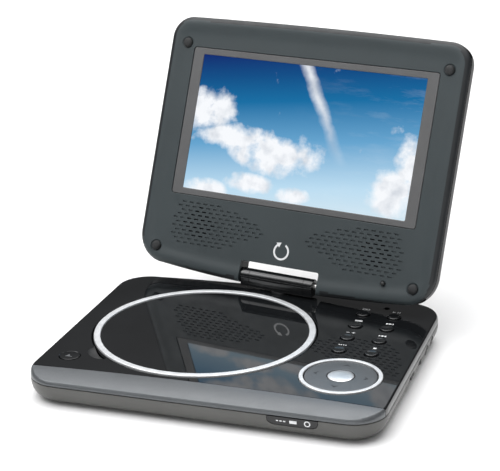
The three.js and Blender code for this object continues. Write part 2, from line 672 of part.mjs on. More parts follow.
// ---------------------------------------------------------------- swivel column and hinge block
function swivelColumn() {
  const column = disc(0, 0, COLUMN_R, 5, HINGE_Z + BARREL_FOOT - GAP, 28);
  const groove = disc(0, 0, 10, 11.6, 13.4, 28).subtract(disc(0, 0, COLUMN_R - 1, 10, 15, 28));
  return cut(column, groove, disc(0, 0, 2.4, 0, 20, 16));
}

function swivelClip() {
  return disc(0, 0, COLUMN_R + 1.4, 12, 13, 28).subtract(disc(0, 0, COLUMN_R - 1 + GAP, 10, 15, 28));
}

// A round barrel on a slim foot whose front and back are gently curved.
function hingeBlock() {
  const points = [];
  const steps = 14;
  for (let i = 0; i <= steps; i += 1) {
    const angle = Math.PI * (i / steps) * 1.16 - Math.PI * 0.08;
    points.push([BARREL_R * Math.cos(angle), BARREL_R * Math.sin(angle)]);
  }
  points.push([-4.1, BARREL_FOOT + 0.4], [-3.7, BARREL_FOOT], [3.7, BARREL_FOOT], [4.1, BARREL_FOOT + 0.4]);
  const block = along(points, BARREL_LEFT, BARREL_RIGHT).translate([0, 0, HINGE_Z]);
  return cut(
    block,
    rod(BARREL_LEFT - 1, BARREL_LEFT + 10, 0, HINGE_Z, PIN_R + GAP, 20),
    rod(BARREL_RIGHT - 10, BARREL_RIGHT + 1, 0, HINGE_Z, PIN_R + GAP, 20),
    disc(0, 0, 2.4, 0, HINGE_Z - 1, 16),
  );
}

swivel.add(
  named('swivel_column', swivelColumn(), STEEL),
  named('swivel_clip', swivelClip(), STEEL),
  named('hinge_block', hingeBlock(), PIANO_BLACK),
);

// ---------------------------------------------------------------- screen lid
// Slots in staggered rows; only those in front of the round speaker go through.
function speakerSlots(side) {
  const slots = [];
  for (let row = -6; row <= 6; row += 1) {
    for (let column = -4; column <= 4; column += 1) {
      const x = (column + (row % 2 === 0 ? 0 : 0.5)) * SLOT_PITCH_X;
      const y = row * SLOT_PITCH_Y;
      if (Math.hypot(x, y) + SLOT_LENGTH / 2 < SPEAKER_R) {
        const cx = side * SPEAKER_X + x;
        const cy = SPEAKER_Y + y;
        slots.push(box(cx - SLOT_LENGTH / 2, cx + SLOT_LENGTH / 2, cy - SLOT_HEIGHT / 2,
          cy + SLOT_HEIGHT / 2, LID_FACE - 4, LID_FACE + 1));
      }
    }
  }
  return slots;
}

const notch = (grow) => box(-NOTCH_HALF - grow, NOTCH_HALF + grow, -30, NOTCH_TOP + grow, -20, 20);
const pinHole = (z) => rod(-NOTCH_HALF - 4, NOTCH_HALF + 4, 0, z, PIN_R + GAP, 20);
const PEG = [69.9, 9.2];
const BUMPERS = {
  bumper_top_left: [-90, 141.3], bumper_top_right: [90, 141.3],
  bumper_bottom_left: [-89.2, 8.9], bumper_bottom_right: [89.2, 8.9],
};

function lidBezel() {
  const skin = pillow(lidOutline(0), LID_PARTING - 10, LID_FACE, 2.6, 2.6, 3)
    .subtract(box(-200, 200, -200, 400, -30, LID_PARTING));
  const hollow = slab(lidOutline(LID_WALL), LID_PARTING - 5, LID_FACE - LID_WALL).subtract(notch(LID_WALL));
  const pits = Object.values(BUMPERS).map(([x, y]) => disc(x, y, BUMPER_R + GAP, LID_FACE - 0.9, 20, 12));
  return cut(
    skin, hollow, notch(0), pinHole(0), ...pits,
    disc(...PEG, 1.3 + GAP, LID_FACE - 0.9, 20, 10),
    box(-WINDOW_W / 2, WINDOW_W / 2, SCREEN_Y - WINDOW_H / 2, SCREEN_Y + WINDOW_H / 2, -10, 20),
    ...speakerSlots(-1), ...speakerSlots(1),
  );
}

function lidBack() {
  const skin = pillow(lidOutline(0), LID_REAR, LID_PARTING + 20, 5, 5, 4)
    .subtract(box(-200, 200, -200, 400, LID_PARTING - GAP, 60));
  const hollow = slab(lidOutline(LID_WALL + 1.2), LID_REAR + LID_WALL, 20).subtract(notch(LID_WALL));
  return cut(skin, hollow, notch(0), pinHole(0));
}

function screenSurround() {
  const [w, h] = [WINDOW_W / 2, WINDOW_H / 2];
  const flange = box(-w - 3, w + 3, SCREEN_Y - h - 2.5, SCREEN_Y + h + 2.5, 2.4, LID_FACE - LID_WALL - GAP);
  const face = box(-w + GAP, w - GAP, SCREEN_Y - h + GAP, SCREEN_Y + h - GAP, 2.4, LID_FACE - 0.7);
  const opening = box(-LCD_W / 2, LCD_W / 2, SCREEN_Y - LCD_H / 2, SCREEN_Y + LCD_H / 2, -10, 20);
  return union(flange, face).subtract(opening);
}

// The panel's metal frame lies behind the border, and its glass fills the border's opening.
function lcdPanel() {
  const [w, h] = [LCD_W / 2 - 0.2, LCD_H / 2 - 0.2];
  return union(
    box(-82.5, 82.5, SCREEN_Y - 50, SCREEN_Y + 50, -2, 2.1),
    box(-w, w, SCREEN_Y - h, SCREEN_Y + h, 1, LID_FACE - 0.9),
  );
}

const lidBoard = () => box(-60, 60, SCREEN_Y - 30, SCREEN_Y + 20, -3.6, -2.4);

function speaker(side) {
  return turned(side * SPEAKER_X, SPEAKER_Y, [
    [0, -3.4], [7, -3.4], [7, -1], [SPEAKER_R + 1, 1.2], [SPEAKER_R + 1, 3.4], [SPEAKER_R - 1, 3.4],
    [4, 1.6], [0, 2.4],
  ], 20);
}

// A steel arm: a flange on the back shell, an upright web and the pin that enters the barrel.
function hingeArm(side) {
  const inner = side < 0 ? BARREL_LEFT + 9 : BARREL_RIGHT - 9;
  const web = side * (NOTCH_HALF + LID_WALL + GAP);
  const far = web + side * 1.5;
  const flangeEnd = side * 46;
  const span = (a, b) => [Math.min(a, b), Math.max(a, b)];
  return union(
    rod(...span(inner, far), 0, 0, PIN_R, 20),
    box(...span(web, far), -1.4, 6, -4.1, 2.6),
    box(...span(web, flangeEnd), -1, 14, -4.1, -3),
  );
}

function bumper([x, y]) {
  return turned(x, y, [
    [0, LID_FACE - 0.6], [BUMPER_R, LID_FACE - 0.6], [BUMPER_R, LID_FACE + 0.2],
    [BUMPER_R * 0.6, LID_FACE + 1.1], [0, LID_FACE + 1.3],
  ], 12);
}

lid.add(
  named('lid_bezel', lidBezel(), SLATE),
  named('lid_back', lidBack(), PIANO_BLACK),
  named('screen_surround', screenSurround(), BORDER_GREY),
  named('lcd_panel', lcdPanel(), SCREEN_BLUE),
  named('lid_board', lidBoard(), BOARD_GREEN),
  named('speaker_left', speaker(-1), PLASTIC_BLACK),
  named('speaker_right', speaker(1), PLASTIC_BLACK),
  named('hinge_arm_left', hingeArm(-1), STEEL),
  named('hinge_arm_right', hingeArm(1), STEEL),
  named('lid_peg', turned(...PEG, [
    [0, LID_FACE - 0.6], [1.3, LID_FACE - 0.6], [1.3, LID_FACE + 1],
    [0.8, LID_FACE + 1.4], [0, LID_FACE + 1.4],
  ], 10), PLASTIC_BLACK),
);
for (const [name, place] of Object.entries(BUMPERS)) lid.add(named(name, bumper(place), RUBBER));

export default group;
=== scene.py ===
"""Looks of the portable DVD player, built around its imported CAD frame.

Lengths in this file are millimetres; mesh_object() and shift() turn them into metres.
Pieces of the screen lid are made in the lid's own axes (X across, Y up the lid, Z to the viewer)
and LID places them, so that they sit where the CAD has them.
"""
import json
from math import cos, degrees, hypot, pi, radians, sin, sqrt

import bmesh
import bpy
from mathutils import Matrix, Vector


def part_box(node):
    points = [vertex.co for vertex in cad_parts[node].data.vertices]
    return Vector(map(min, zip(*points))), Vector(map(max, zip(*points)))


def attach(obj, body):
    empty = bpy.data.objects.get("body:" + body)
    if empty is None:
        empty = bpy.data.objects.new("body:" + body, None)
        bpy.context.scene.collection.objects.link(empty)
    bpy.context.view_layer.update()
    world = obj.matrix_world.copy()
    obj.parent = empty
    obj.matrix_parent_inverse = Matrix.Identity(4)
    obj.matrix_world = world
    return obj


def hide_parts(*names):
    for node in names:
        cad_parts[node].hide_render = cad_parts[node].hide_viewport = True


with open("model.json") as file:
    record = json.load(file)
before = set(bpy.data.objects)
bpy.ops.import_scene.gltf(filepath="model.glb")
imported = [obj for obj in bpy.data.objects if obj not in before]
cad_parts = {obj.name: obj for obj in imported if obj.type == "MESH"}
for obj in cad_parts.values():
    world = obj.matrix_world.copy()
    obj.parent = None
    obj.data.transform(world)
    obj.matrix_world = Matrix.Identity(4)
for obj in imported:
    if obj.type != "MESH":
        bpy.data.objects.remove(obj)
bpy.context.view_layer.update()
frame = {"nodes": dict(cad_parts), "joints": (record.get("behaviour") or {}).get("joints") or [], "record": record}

MM = 0.001
ON_AXIS = 1e-6
JOINTS = {joint["name"]: joint for joint in frame["joints"]}


# ---- places, from the frame
def corners(node):
    """Lowest and highest corner of a CAD node, in millimetres."""
    low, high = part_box(node)
    return low / MM, high / MM


def middle(node):
    low, high = corners(node)
    return (low + high) / 2


def joint_range(name):
    """Lowest and highest angle of a hinge, in degrees."""
    joint = JOINTS[name]
    if "range_deg" in joint:
        return joint["range_deg"]
    return [degrees(value) for value in joint["range"]]


def joint_place(name):
    joint = JOINTS[name]
    return Vector(joint["pos_m"] if "pos_m" in joint else joint["pos"]) / MM


DECK_Z = corners("top_deck")[1].z
SEAM_Z = corners("lower_shell")[1].z
HALF_W = corners("lower_shell")[1].x
FRONT_Y = corners("lower_shell")[0].y
REAR_BOW = 4.0
REAR_Y = corners("lower_shell")[1].y - REAR_BOW
CORNER_R = 20.0
GAP = 0.3
STRIP_Y = -66.4
STRIP_BOW = 3.6

DISC = middle("disc_ring")
RING_OUT = (corners("disc_ring")[1].x - corners("disc_ring")[0].x) / 2
RING_IN = RING_OUT - 3.9
DISC_LID_R = RING_OUT + 0.6
WELL_R = RING_OUT + 1.2
WELL_FLOOR_Z = 9.4
SCOOP = (DISC.x - 47.5, DISC.y - 47.5)
LATCH_DEG = 222        # the catch, seen from the disc's axis
LENS_X = DISC.x + 30
NAV = middle("nav_ring")
NAV_OUT = (corners("nav_ring")[1].x - corners("nav_ring")[0].x) / 2
NAV_IN = NAV_OUT - 2.4
NAV_PAD_R = (corners("nav_pad")[1].x - corners("nav_pad")[0].x) / 2
OK_R = (corners("ok_button")[1].x - corners("ok_button")[0].x) / 2
OPEN = middle("open_button")
OPEN_R = (corners("open_button")[1].x - corners("open_button")[0].x) / 2
KEYS = [middle(f"key_{i}") for i in range(1, 9)]
KEY_R = 4.0
KEY_TOP = 17.0

SWIVEL_DEG = -joint_range("swivel_turn")[0]
TILT_DEG = 90 + joint_range("screen_tilt")[0]
TILT_PIN = joint_place("screen_tilt")
TILT_PIN.x = 0
SWIVEL = Matrix.Translation((0, TILT_PIN.y, 0)) @ Matrix.Rotation(radians(-SWIVEL_DEG), 4, "Z")     # in millimetres
LID_SHIFT = 0.6
LID = SWIVEL @ Matrix.Translation((LID_SHIFT, 0, TILT_PIN.z)) @ Matrix.Rotation(radians(90 - TILT_DEG), 4, "X")

JACKS = ("headphone_jack", "av_jack", "dc_jack")
SOCKET_Z = 7
FEET = ("foot_front_left", "foot_front_right", "foot_rear_left", "foot_rear_right")
SCREWS = ((-62, -52), (30, -52), (-62, 52), (30, 52), (-16, 0))
BARREL_X = (-25.9, 24.0)
BARREL_R = 4.6
BARREL_FOOT = -6.0     # the flat under the barrel, below the tilt pin
PIN_BORE_R = 2.4

LID_HALF_W = 102.4
LID_BOTTOM = -1.4
LID_TOP = 158.4
LID_BOTTOM_BOW = 4.0
LID_TOP_BOW = 0.9
LID_CORNER_R = 19.0
LID_TOP_CORNER_R = 14.0
LID_FACE = 5.7
FACE_Z = 5.2          # the dished face inside the raised rim
LID_PARTING = 3.0
LID_REAR = -6.3
WINDOW_W = 169.4
WINDOW_H = 95.1
SCREEN_Y = 91.7
LCD_W = 154.08
LCD_H = 86.58
NOTCH_HALF = 27.0
NOTCH_TOP = 8.8
SPEAKER_X = 61.0
SPEAKER_Y = 27.0
SPEAKER_R = 12.0
BUMPERS = {
    "bumper_top_left": (-90, 141.3), "bumper_top_right": (90, 141.3),
    "bumper_bottom_left": (-89.2, 8.9), "bumper_bottom_right": (89.2, 8.9),
}
BUMPER_R = 3.1
PEG = (69.9, 9.2)
DIMPLE_Y = 66.5       # in the deck, under the peg of a shut lid


# ---- mesh helpers
def mesh_object(name, points, faces):
    mesh = bpy.data.meshes.new(name)
    mesh.from_pydata([tuple(Vector(p) * MM) for p in points], [], faces)
    mesh.update()
    made = bpy.data.objects.new(name, mesh)
    bpy.context.scene.collection.objects.link(made)
    return made


def shift(x=0, y=0, z=0):
    """A move by millimetres, for meshes in metres."""
    return Matrix.Translation((x * MM, y * MM, z * MM))


def spin(angle, axis="Z"):
    return Matrix.Rotation(radians(angle), 4, axis)


def moved(piece, place):
    piece.data.transform(place)
    return piece


def band(rings, closed=False):
    """Faces between rings of points, and from the last ring to the first if closed."""
    n, count = len(rings[0]), len(rings)
    return [(k * n + i, k * n + (i + 1) % n, (k + 1) % count * n + (i + 1) % n, (k + 1) % count * n + i)
            for k in range(count if closed else count - 1) for i in range(n)]


def loft(name, rings):
    """A closed solid through rings of points, lowest first, each running anticlockwise."""
    n, last = len(rings[0]), (len(rings) - 1) * len(rings[0])
    ends = [tuple(reversed(range(n))), tuple(range(last, last + n))]
    return mesh_object(name, [p for ring in rings for p in ring], band(rings) + ends)


def tube(name, rings):
    """A solid with a hole through it: the last ring of points joins the first."""
    return mesh_object(name, [p for ring in rings for p in ring], band(rings, closed=True))


def circle(x, y, r, z, segments):
    angles = [2 * pi * i / segments for i in range(segments)]
    return [(x + r * cos(a), y + r * sin(a), z) for a in angles]


def turned(name, x, y, profile, segments=96):
    """A turned solid from (radius, height) pairs, closed on the axis at both ends."""
    profile = [(0, z) for r, z in profile[:1] if r > ON_AXIS] + profile
    profile += [(0, z) for r, z in profile[-1:] if r > ON_AXIS]
    points, rows = [], []
    for r, z in profile:
        if r < ON_AXIS:
            rows.append([len(points)] * segments)
            points.append((x, y, z))
        else:
            rows.append(list(range(len(points), len(points) + segments)))
            points += circle(x, y, r, z, segments)
    faces = []
    for low, high in zip(rows, rows[1:]):
        for i in range(segments):
            j = (i + 1) % segments
            faces.append(tuple(dict.fromkeys([low[i], low[j], high[j], high[i]])))
    return mesh_object(name, points, [f for f in faces if len(f) > 2])


def mouth(x, y, r, low, face, depth, flare, segments):
    """A tool for a round hole from `low` up; its rim widens by `flare` over the last `depth` below the face."""
    return turned("t", x, y, [(r, low), (r, face - depth), (r + flare, face + 0.02), (r + flare, 30)], segments)


def quarter(steps, first=0):
    """(1 - cosine, 1 - sine) at even steps of a quarter turn."""
    angles = [pi / 2 * i / steps for i in range(first, steps + 1)]
    return [(1 - cos(a), 1 - sin(a)) for a in angles]


def hoop(name, x, y, section, segments):
    """A ring whose closed section is given as (radius, height) pairs."""
    return tube(name, [circle(x, y, r, z, segments) for r, z in section])


def washer(name, x, y, inner, outer, z_low, z_high, edge, segments=128):
    """A ring whose top edges are rounded by `edge`."""
    section = [(outer, z_low)]
    section += [(outer - edge * c, z_high - edge * s) for c, s in quarter(4)]
    section += [(inner + edge * s, z_high - edge * c) for c, s in quarter(4)]
    return hoop(name, x, y, section + [(inner, z_low)], segments)


def outline(half, low, high, radius, low_bow, high_bow, inset=0.0, top_radius=None, corner=12, edge=28, side=6):
    """Rounded outline whose lower and upper edges bow outwards, anticlockwise from the lower left."""
    w, y0, y1, r = half - inset, low + inset, high - inset, radius - inset
    q = r if top_radius is None else top_radius - inset
    rise = y1 - y0 - r - q
    along = [i / edge for i in range(edge)]

    def bend(x, y, size, quarters):
        angles = [pi / 2 * (quarters + i / corner) for i in range(corner)]
        return [(x + size * cos(a), y + size * sin(a)) for a in angles]

    return ([(-w + r + 2 * (w - r) * t, y0 - 4 * low_bow * t * (1 - t)) for t in along]
            + bend(w - r, y0 + r, r, -1)
            + [(w, y0 + r + rise * i / side) for i in range(side)]
            + bend(w - q, y1 - q, q, 0)
            + [(w - q - 2 * (w - q) * t, y1 + 4 * high_bow * t * (1 - t)) for t in along]
            + bend(-w + q, y1 - q, q, 1)
            + [(-w, y1 - q - rise * i / side) for i in range(side)]
            + bend(-w + r, y0 + r, r, 2))


def level(plan, z):
    return [(x, y, z) for x, y in plan]


def base_plan(inset):
    return outline(HALF_W, FRONT_Y, REAR_Y, CORNER_R, 0, REAR_BOW, inset)


def lid_plan(inset):
    return outline(LID_HALF_W, LID_BOTTOM, LID_TOP, LID_CORNER_R, LID_BOTTOM_BOW, LID_TOP_BOW, inset,
                   LID_TOP_CORNER_R)


def base_ring(inset, z):
    return level(base_plan(inset), z)


def lid_ring(inset, z):
    return level(lid_plan(inset), z)


def prism(name, plan, z0, z1):
    return loft(name, [level(plan, z0), level(plan, z1)])


def bar(x0, x1, y0, y1):
    return [(x0, y0), (x1, y0), (x1, y1), (x0, y1)]


def block(name, x0, x1, y0, y1, z0, z1):
    return prism(name, bar(x0, x1, y0, y1), z0, z1)


def rounded_plan(x0, x1, y0, y1, r, steps=5):
    plan = []
    for cx, cy, start in ((x1 - r, y0 + r, -90), (x1 - r, y1 - r, 0), (x0 + r, y1 - r, 90), (x0 + r, y0 + r, 180)):
        for i in range(steps + 1):
            a = radians(start + 90 * i / steps)
            plan.append((cx + r * cos(a), cy + r * sin(a)))
    return plan


def slab(name, x0, x1, y0, y1, r, rings, steps=5):
    """A solid with rounded corners through (inset, height) pairs."""
    return loft(name, [level(rounded_plan(x0 + i, x1 - i, y0 + i, y1 - i, max(r - i, 0.05), steps), z)
                       for i, z in rings])


def joined(name, parts):
    """Several solids as one object; each keeps its own closed surface."""
    made = bmesh.new()
    for part in parts:
        made.from_mesh(part.data)
        bpy.data.objects.remove(part)
    mesh = bpy.data.meshes.new(name)
    made.to_mesh(mesh)
    made.free()
    whole = bpy.data.objects.new(name, mesh)
    bpy.context.scene.collection.objects.link(whole)
    return whole


def bake(piece):
    """Applies the modifiers of a piece."""
    bpy.context.view_layer.update()
    done = bpy.data.meshes.new_from_object(piece.evaluated_get(bpy.context.evaluated_depsgraph_get()))
    piece.modifiers.clear()
    piece.data = done
    return piece


def combine(piece, tools, operation="DIFFERENCE"):
    tool = joined("tool", tools)
    step = piece.modifiers.new("combine", "BOOLEAN")
    step.operation = operation
    step.solver = "EXACT"
    step.object = tool
    step.use_self = operation == "DIFFERENCE"
    bake(piece)
    bpy.data.objects.remove(tool)
    return piece


def cut(piece, *tools):
    return combine(piece, tools)


def tidy(piece, angle=32):
    """Cleans a mesh and sets its shading: smooth, with an edge kept where it turns by more than `angle`."""
    made = bmesh.new()
    made.from_mesh(piece.data)
    bmesh.ops.remove_doubles(made, verts=made.verts, dist=2e-6)
    bmesh.ops.dissolve_degenerate(made, edges=made.edges, dist=1e-6)
    loose = [v for v in made.verts if not v.link_faces]
    bmesh.ops.delete(made, geom=loose, context="VERTS")
    made.to_mesh(piece.data)
    made.free()
    piece.data.polygons.foreach_set("use_smooth", [True] * len(piece.data.polygons))
    piece.data.set_sharp_from_angle(angle=radians(angle))
    step = piece.modifiers.new("normals", "WEIGHTED_NORMAL")
    step.keep_sharp = True
    step.weight = 80
    return piece


def put(piece, body, slot, *nodes, place=None, look=None, angle=32):
    """Finishes a piece: placed, shaded, given its material, hung under its body's empty, and the CAD nodes it stands
    for hidden.
    """
    if place is not None:
        piece.data.transform(Matrix.Scale(MM, 4) @ place @ Matrix.Scale(1 / MM, 4))
    tidy(piece, angle)
    piece.data.materials.clear()
    piece.data.materials.append(look or LOOK[slot])
    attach(piece, body)
    if nodes:
        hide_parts(*nodes)
    return piece


def paint(piece, look, chosen, place=None):
    """Gives the faces whose middle and direction are chosen a second material."""
    back = (place or Matrix.Identity(4)).inverted()
    turn = back.to_3x3()
    piece.data.materials.append(look)
    index = len(piece.data.materials) - 1
    for face in piece.data.polygons:
        if chosen(back @ (face.center / MM), turn @ face.normal):
            face.material_index = index


# ---- materials
class Graph:
    """A short way to write the nodes of a material, or of the world."""

    def __init__(self, name, owner=None, shader="Principled BSDF"):
        self.material = owner or bpy.data.materials.new(name)
        self.material.use_nodes = True
        self.nodes = self.material.node_tree.nodes
        self.links = self.material.node_tree.links
        self.shader = self.nodes[shader]
        self.coordinate = self.node("TexCoord", {}).outputs

    def wire(self, value, socket):
        if isinstance(value, bpy.types.NodeSocket):
            self.links.new(value, socket)
        else:
            socket.default_value = value

    def node(self, kind, inputs, **settings):
        node = self.nodes.new("ShaderNode" + kind)
        for name, value in settings.items():
            setattr(node, name, value)
        for name, value in inputs.items():
            self.wire(value, node.inputs[name])
        return node

    def math(self, operation, a, b=0.0, clamp=False):
        return self.node("Math", {0: a, 1: b}, operation=operation, use_clamp=clamp).outputs[0]

    def add(self, a, b):
        return self.math("ADD", a, b)

    def minus(self, a, b):
        return self.math("SUBTRACT", a, b)

    def times(self, a, b):
        return self.math("MULTIPLY", a, b)

    def noise(self, scale, detail=3.0, rough=0.5, vector=None):
        inputs = {"Scale": scale, "Detail": detail, "Roughness": rough, "Vector": vector or self.coordinate["Object"]}
        return self.node("TexNoise", inputs).outputs["Fac"]

    def cells(self, scale, output="Distance"):
        return self.node("TexVoronoi", {"Scale": scale, "Vector": self.coordinate["Object"]}).outputs[output]

    def stretched(self, vector, scale, rotation=(0, 0, 0)):
        return self.node("Mapping", {"Vector": vector, "Scale": scale, "Rotation": rotation}).outputs["Vector"]

    def spread(self, value, low, high, from_low=0.3, from_high=0.7):
        return self.node("MapRange", {"Value": value, "From Min": from_low, "From Max": from_high,
                                      "To Min": low, "To Max": high}).outputs["Result"]

    def ramp(self, value, stops):
        node = self.node("ValToRGB", {0: value})
        ramp = node.color_ramp
        while len(ramp.elements) < len(stops):
            ramp.elements.new(0.5)
        for element, (position, colour) in zip(ramp.elements, stops):
            element.position = position
            element.color = (*colour, 1)
        return node.outputs[0]

    def mix(self, factor, a, b):
        return self.node("Mix", {0: factor, 6: a, 7: b}, data_type="RGBA").outputs[2]

    def bump(self, height, distance, strength=1.0, below=None):
        inputs = {"Distance": distance, "Strength": strength, "Height": height}
        if below is not None:
            inputs["Normal"] = below
        return self.node("Bump", inputs).outputs["Normal"]

    def set(self, **values):
        for name, value in values.items():
            self.wire(value, self.shader.inputs[name.replace("_", " ")])
        return self


def shades(colour, amount):
    """Two colours a little darker and a little lighter than the one given."""
    return [(*(c * (1 - amount) for c in colour), 1), (*(c * (1 + amount) for c in colour), 1)]


def plastic(name, colour, roughness, grain_mm=0.25, grain=0.004, vary=0.06, coat=0.0, metallic=0.0, ior=1.5):
    """Moulded plastic: a fine grain, uneven gloss and a faint drift of colour."""
    g = Graph(name)
    dark, light = shades(colour, vary)
    drift = g.spread(g.noise(38, 4), 0, 1)
    g.set(Base_Color=g.mix(drift, dark, light))
    patchy = g.add(g.noise(140, 5, 0.6), g.times(g.noise(1900, 2), 0.5))
    g.set(Roughness=g.spread(patchy, roughness * 0.82, roughness * 1.18, 0.5, 1.0))
    g.set(Metallic=metallic, Coat_Weight=coat, Coat_Roughness=0.06, IOR=ior)
    fine = g.noise(1 / (grain_mm * MM), 2, 0.6)
    g.set(Normal=g.bump(fine, grain * MM, 1.0, g.bump(g.noise(420, 2), grain * MM * 1.5, 0.6)))
    return g.material


def piano(name, colour=(0.0065, 0.0072, 0.008), ior=1.62, least_rough=0.022):
    """Polished black plastic: mirror gloss with a trace of orange peel, haze and hairline swirls."""
    g = Graph(name)
    dark, light = shades(colour, 0.2)
    g.set(Base_Color=g.mix(g.spread(g.noise(25, 3), 0, 1), dark, light))
    haze = g.spread(g.noise(55, 6, 0.65), 0.0, 1.0, 0.42, 0.72)
    swirl = g.spread(g.cells(900), 1.0, 0.0, 0.0, 0.09)
    rough = g.add(g.times(haze, 0.030), g.times(swirl, 0.015))
    g.set(Roughness=g.add(rough, least_rough), IOR=ior)
    g.set(Normal=g.bump(g.noise(240, 1), 0.0012 * MM, 0.8))
    return g.material


def metal(name, colour, roughness, streak=(30, 1400, 1400), grain=0.0012, metallic=1.0):
    """Metal or metal plating with fine drawn lines."""
    g = Graph(name)
    lines = g.noise(1.0, 4, 0.6, g.stretched(g.coordinate["Object"], streak))
    dark, light = shades(colour, 0.07)
    g.set(Base_Color=g.mix(g.spread(lines, 0, 1), dark, light), Metallic=metallic)
    worn = g.add(lines, g.times(g.noise(90, 4), 0.6))
    g.set(Roughness=g.spread(worn, roughness * 0.8, roughness * 1.25, 0.5, 1.1))
    g.set(Normal=g.bump(lines, grain * MM))
    return g.material


def lacquer(name, colour, roughness):
    """Satin lacquer with fine metal flakes."""
    g = Graph(name)
    dark, light = shades(colour, 0.10)
    tone = g.add(g.times(g.cells(5200, "Color"), 0.6), g.times(g.noise(60, 4), 0.4))
    g.set(Base_Color=g.mix(g.spread(tone, 0, 1), dark, light), Metallic=0.45)
    g.set(Roughness=g.spread(g.noise(160, 5), roughness * 0.85, roughness * 1.15), IOR=1.5)
    g.set(Coat_Weight=0.25, Coat_Roughness=0.22)
    g.set(Normal=g.bump(g.noise(3000, 2), 0.0015 * MM))
    return g.material


def printed_board(name):
    """Solder-masked board with tracks and pads."""
    g = Graph(name)
    brick = g.node("TexBrick", {
        "Scale": 240, "Mortar Size": 0.028, "Color1": (0.008, 0.075, 0.032, 1), "Color2": (0.010, 0.095, 0.040, 1),
        "Mortar": (0.022, 0.19, 0.07, 1), "Vector": g.coordinate["Object"]}).outputs
    pads = g.spread(g.cells(420), 1.0, 0.0, 0.12, 0.16)
    g.set(Base_Color=g.mix(pads, brick["Color"], (0.55, 0.53, 0.45, 1)))
    g.set(Roughness=g.spread(g.noise(300), 0.3, 0.45), Metallic=g.times(pads, 0.8))
    g.set(Normal=g.bump(brick["Fac"], 0.02 * MM, 0.5))
    return g.material


def sky_picture(name):
    """The picture on the screen: a blue sky with clouds and a vapour trail, made from noise."""
    g = Graph(name)
    uv = g.coordinate["UV"]
    u, v, _ = g.node("SeparateXYZ", {0: uv}).outputs
    plan = g.stretched(uv, (1.78, 1.0, 1.0))
    height = g.times(g.add(g.minus(v, g.times(u, 0.22)), 0.22), 0.82)
    sky = g.ramp(height, [
        (0.0, (0.66, 0.80, 0.88)), (0.18, (0.50, 0.72, 0.88)), (0.45, (0.13, 0.37, 0.62)),
        (0.70, (0.004, 0.15, 0.36)), (0.86, (0.0, 0.070, 0.235)), (1.0, (0.0, 0.017, 0.15))])

    def blob(at_u, at_v, wide, tall):
        du = g.math("DIVIDE", g.minus(u, at_u), wide)
        dv = g.math("DIVIDE", g.minus(v, at_v), tall)
        return g.math("SUBTRACT", 1.0, g.add(g.times(du, du), g.times(dv, dv)), clamp=True)

    mass = blob(0.06, 0.60, 0.17, 0.22)
    for spot in ((0.20, 0.42, 0.26, 0.13), (0.40, 0.33, 0.26, 0.20), (0.10, 0.02, 0.14, 0.10),
                 (0.30, 0.10, 0.15, 0.10), (0.50, 0.05, 0.10, 0.08), (0.93, 0.17, 0.16, 0.20),
                 (1.0, 0.42, 0.10, 0.24)):
        mass = g.math("MAXIMUM", mass, blob(*spot))
    puffs = g.noise(5.2, 9, 0.58, plan)
    wisps = g.noise(2.6, 7, 0.62, g.stretched(plan, (0.9, 4.2, 1.0), (0, 0, -0.6)))
    cover = g.spread(g.add(g.times(mass, 0.62), g.times(puffs, 1.25)), 0.0, 1.0, 0.82, 1.14)
    thin = g.times(g.spread(wisps, 0.0, 0.20, 0.50, 0.80), g.spread(u, 0.0, 1.0, 0.45, 0.95))
    beside = g.add(g.times(g.minus(u, 0.475), 0.945), g.times(g.minus(v, 1.0), 0.30))
    ragged = g.math("ABSOLUTE", g.add(beside, g.times(g.minus(puffs, 0.5), 0.05)))
    trail = g.times(g.spread(ragged, 0.85, 0.0, 0.004, 0.034), g.spread(v, 0.0, 1.0, 0.30, 0.75))
    lit = g.ramp(g.add(g.times(g.noise(7.5, 6, 0.5, plan), 0.8), g.times(mass, -0.10)), [
        (0.30, (0.93, 0.95, 0.98)), (0.52, (0.62, 0.66, 0.72))])
    picture = g.mix(g.math("MAXIMUM", g.math("MAXIMUM", cover, thin), trail), sky, lit)
    g.set(Base_Color=(0.004, 0.005, 0.007, 1), Emission_Color=picture, Emission_Strength=1.0)
    g.set(Roughness=g.spread(g.noise(700), 0.16, 0.22), IOR=1.22)
    return g.material


LOOK = {
    "piano_black": piano("piano_black", ior=1.55),
    "slate": plastic("slate", (0.033, 0.044, 0.048), 0.50, 0.22, 0.010, 0.05),
    "satin_grey": lacquer("satin_grey", (0.108, 0.116, 0.123), 0.40),
    "warm_grey": plastic("warm_grey", (0.088, 0.088, 0.083), 0.36, 0.3, 0.006, 0.06),
    "silver": metal("silver", (0.72, 0.735, 0.75), 0.36, (200, 200, 900), 0.0012, 0.45),
    "border_grey": plastic("border_grey", (0.100, 0.101, 0.103), 0.42, 0.2, 0.004, 0.05),
    "pad_grey": lacquer("pad_grey", (0.098, 0.106, 0.113), 0.38),
    "screen": sky_picture("screen"),
    "rubber": plastic("rubber", (0.018, 0.019, 0.020), 0.72, 0.18, 0.012, 0.15),
    "steel": metal("steel", (0.55, 0.55, 0.54), 0.3),
    "board": printed_board("board"),
    "black_plastic": plastic("black_plastic", (0.014, 0.015, 0.016), 0.42, 0.25, 0.006, 0.12),
    "smoked": piano("smoked", (0.010, 0.010, 0.011), 1.5),
    "cell": plastic("cell", (0.02, 0.05, 0.13), 0.4, 0.3, 0.004, 0.1, 0.3),
    "gear_white": plastic("gear_white", (0.74, 0.72, 0.66), 0.4, 0.3, 0.003, 0.03),
}
# painted shade: a darker slate laid on the bezel's rolled rim, where the real rim only turns dark in shade
PAINTED_RIM_SHADE = plastic("slate_painted_rim_shade", (0.008, 0.010, 0.012), 0.46, 0.22, 0.006, 0.05)
BARREL = piano("barrel_black", ior=1.62, least_rough=0.16)
SHELL = piano("shell_black", (0.008, 0.008, 0.009), 1.25)
PRINT = plastic("print_white", (0.78, 0.79, 0.80), 0.5, 0.2, 0.002, 0.03)
MARK = plastic("print_dark", (0.018, 0.020, 0.022), 0.4, 0.2, 0.002, 0.05)


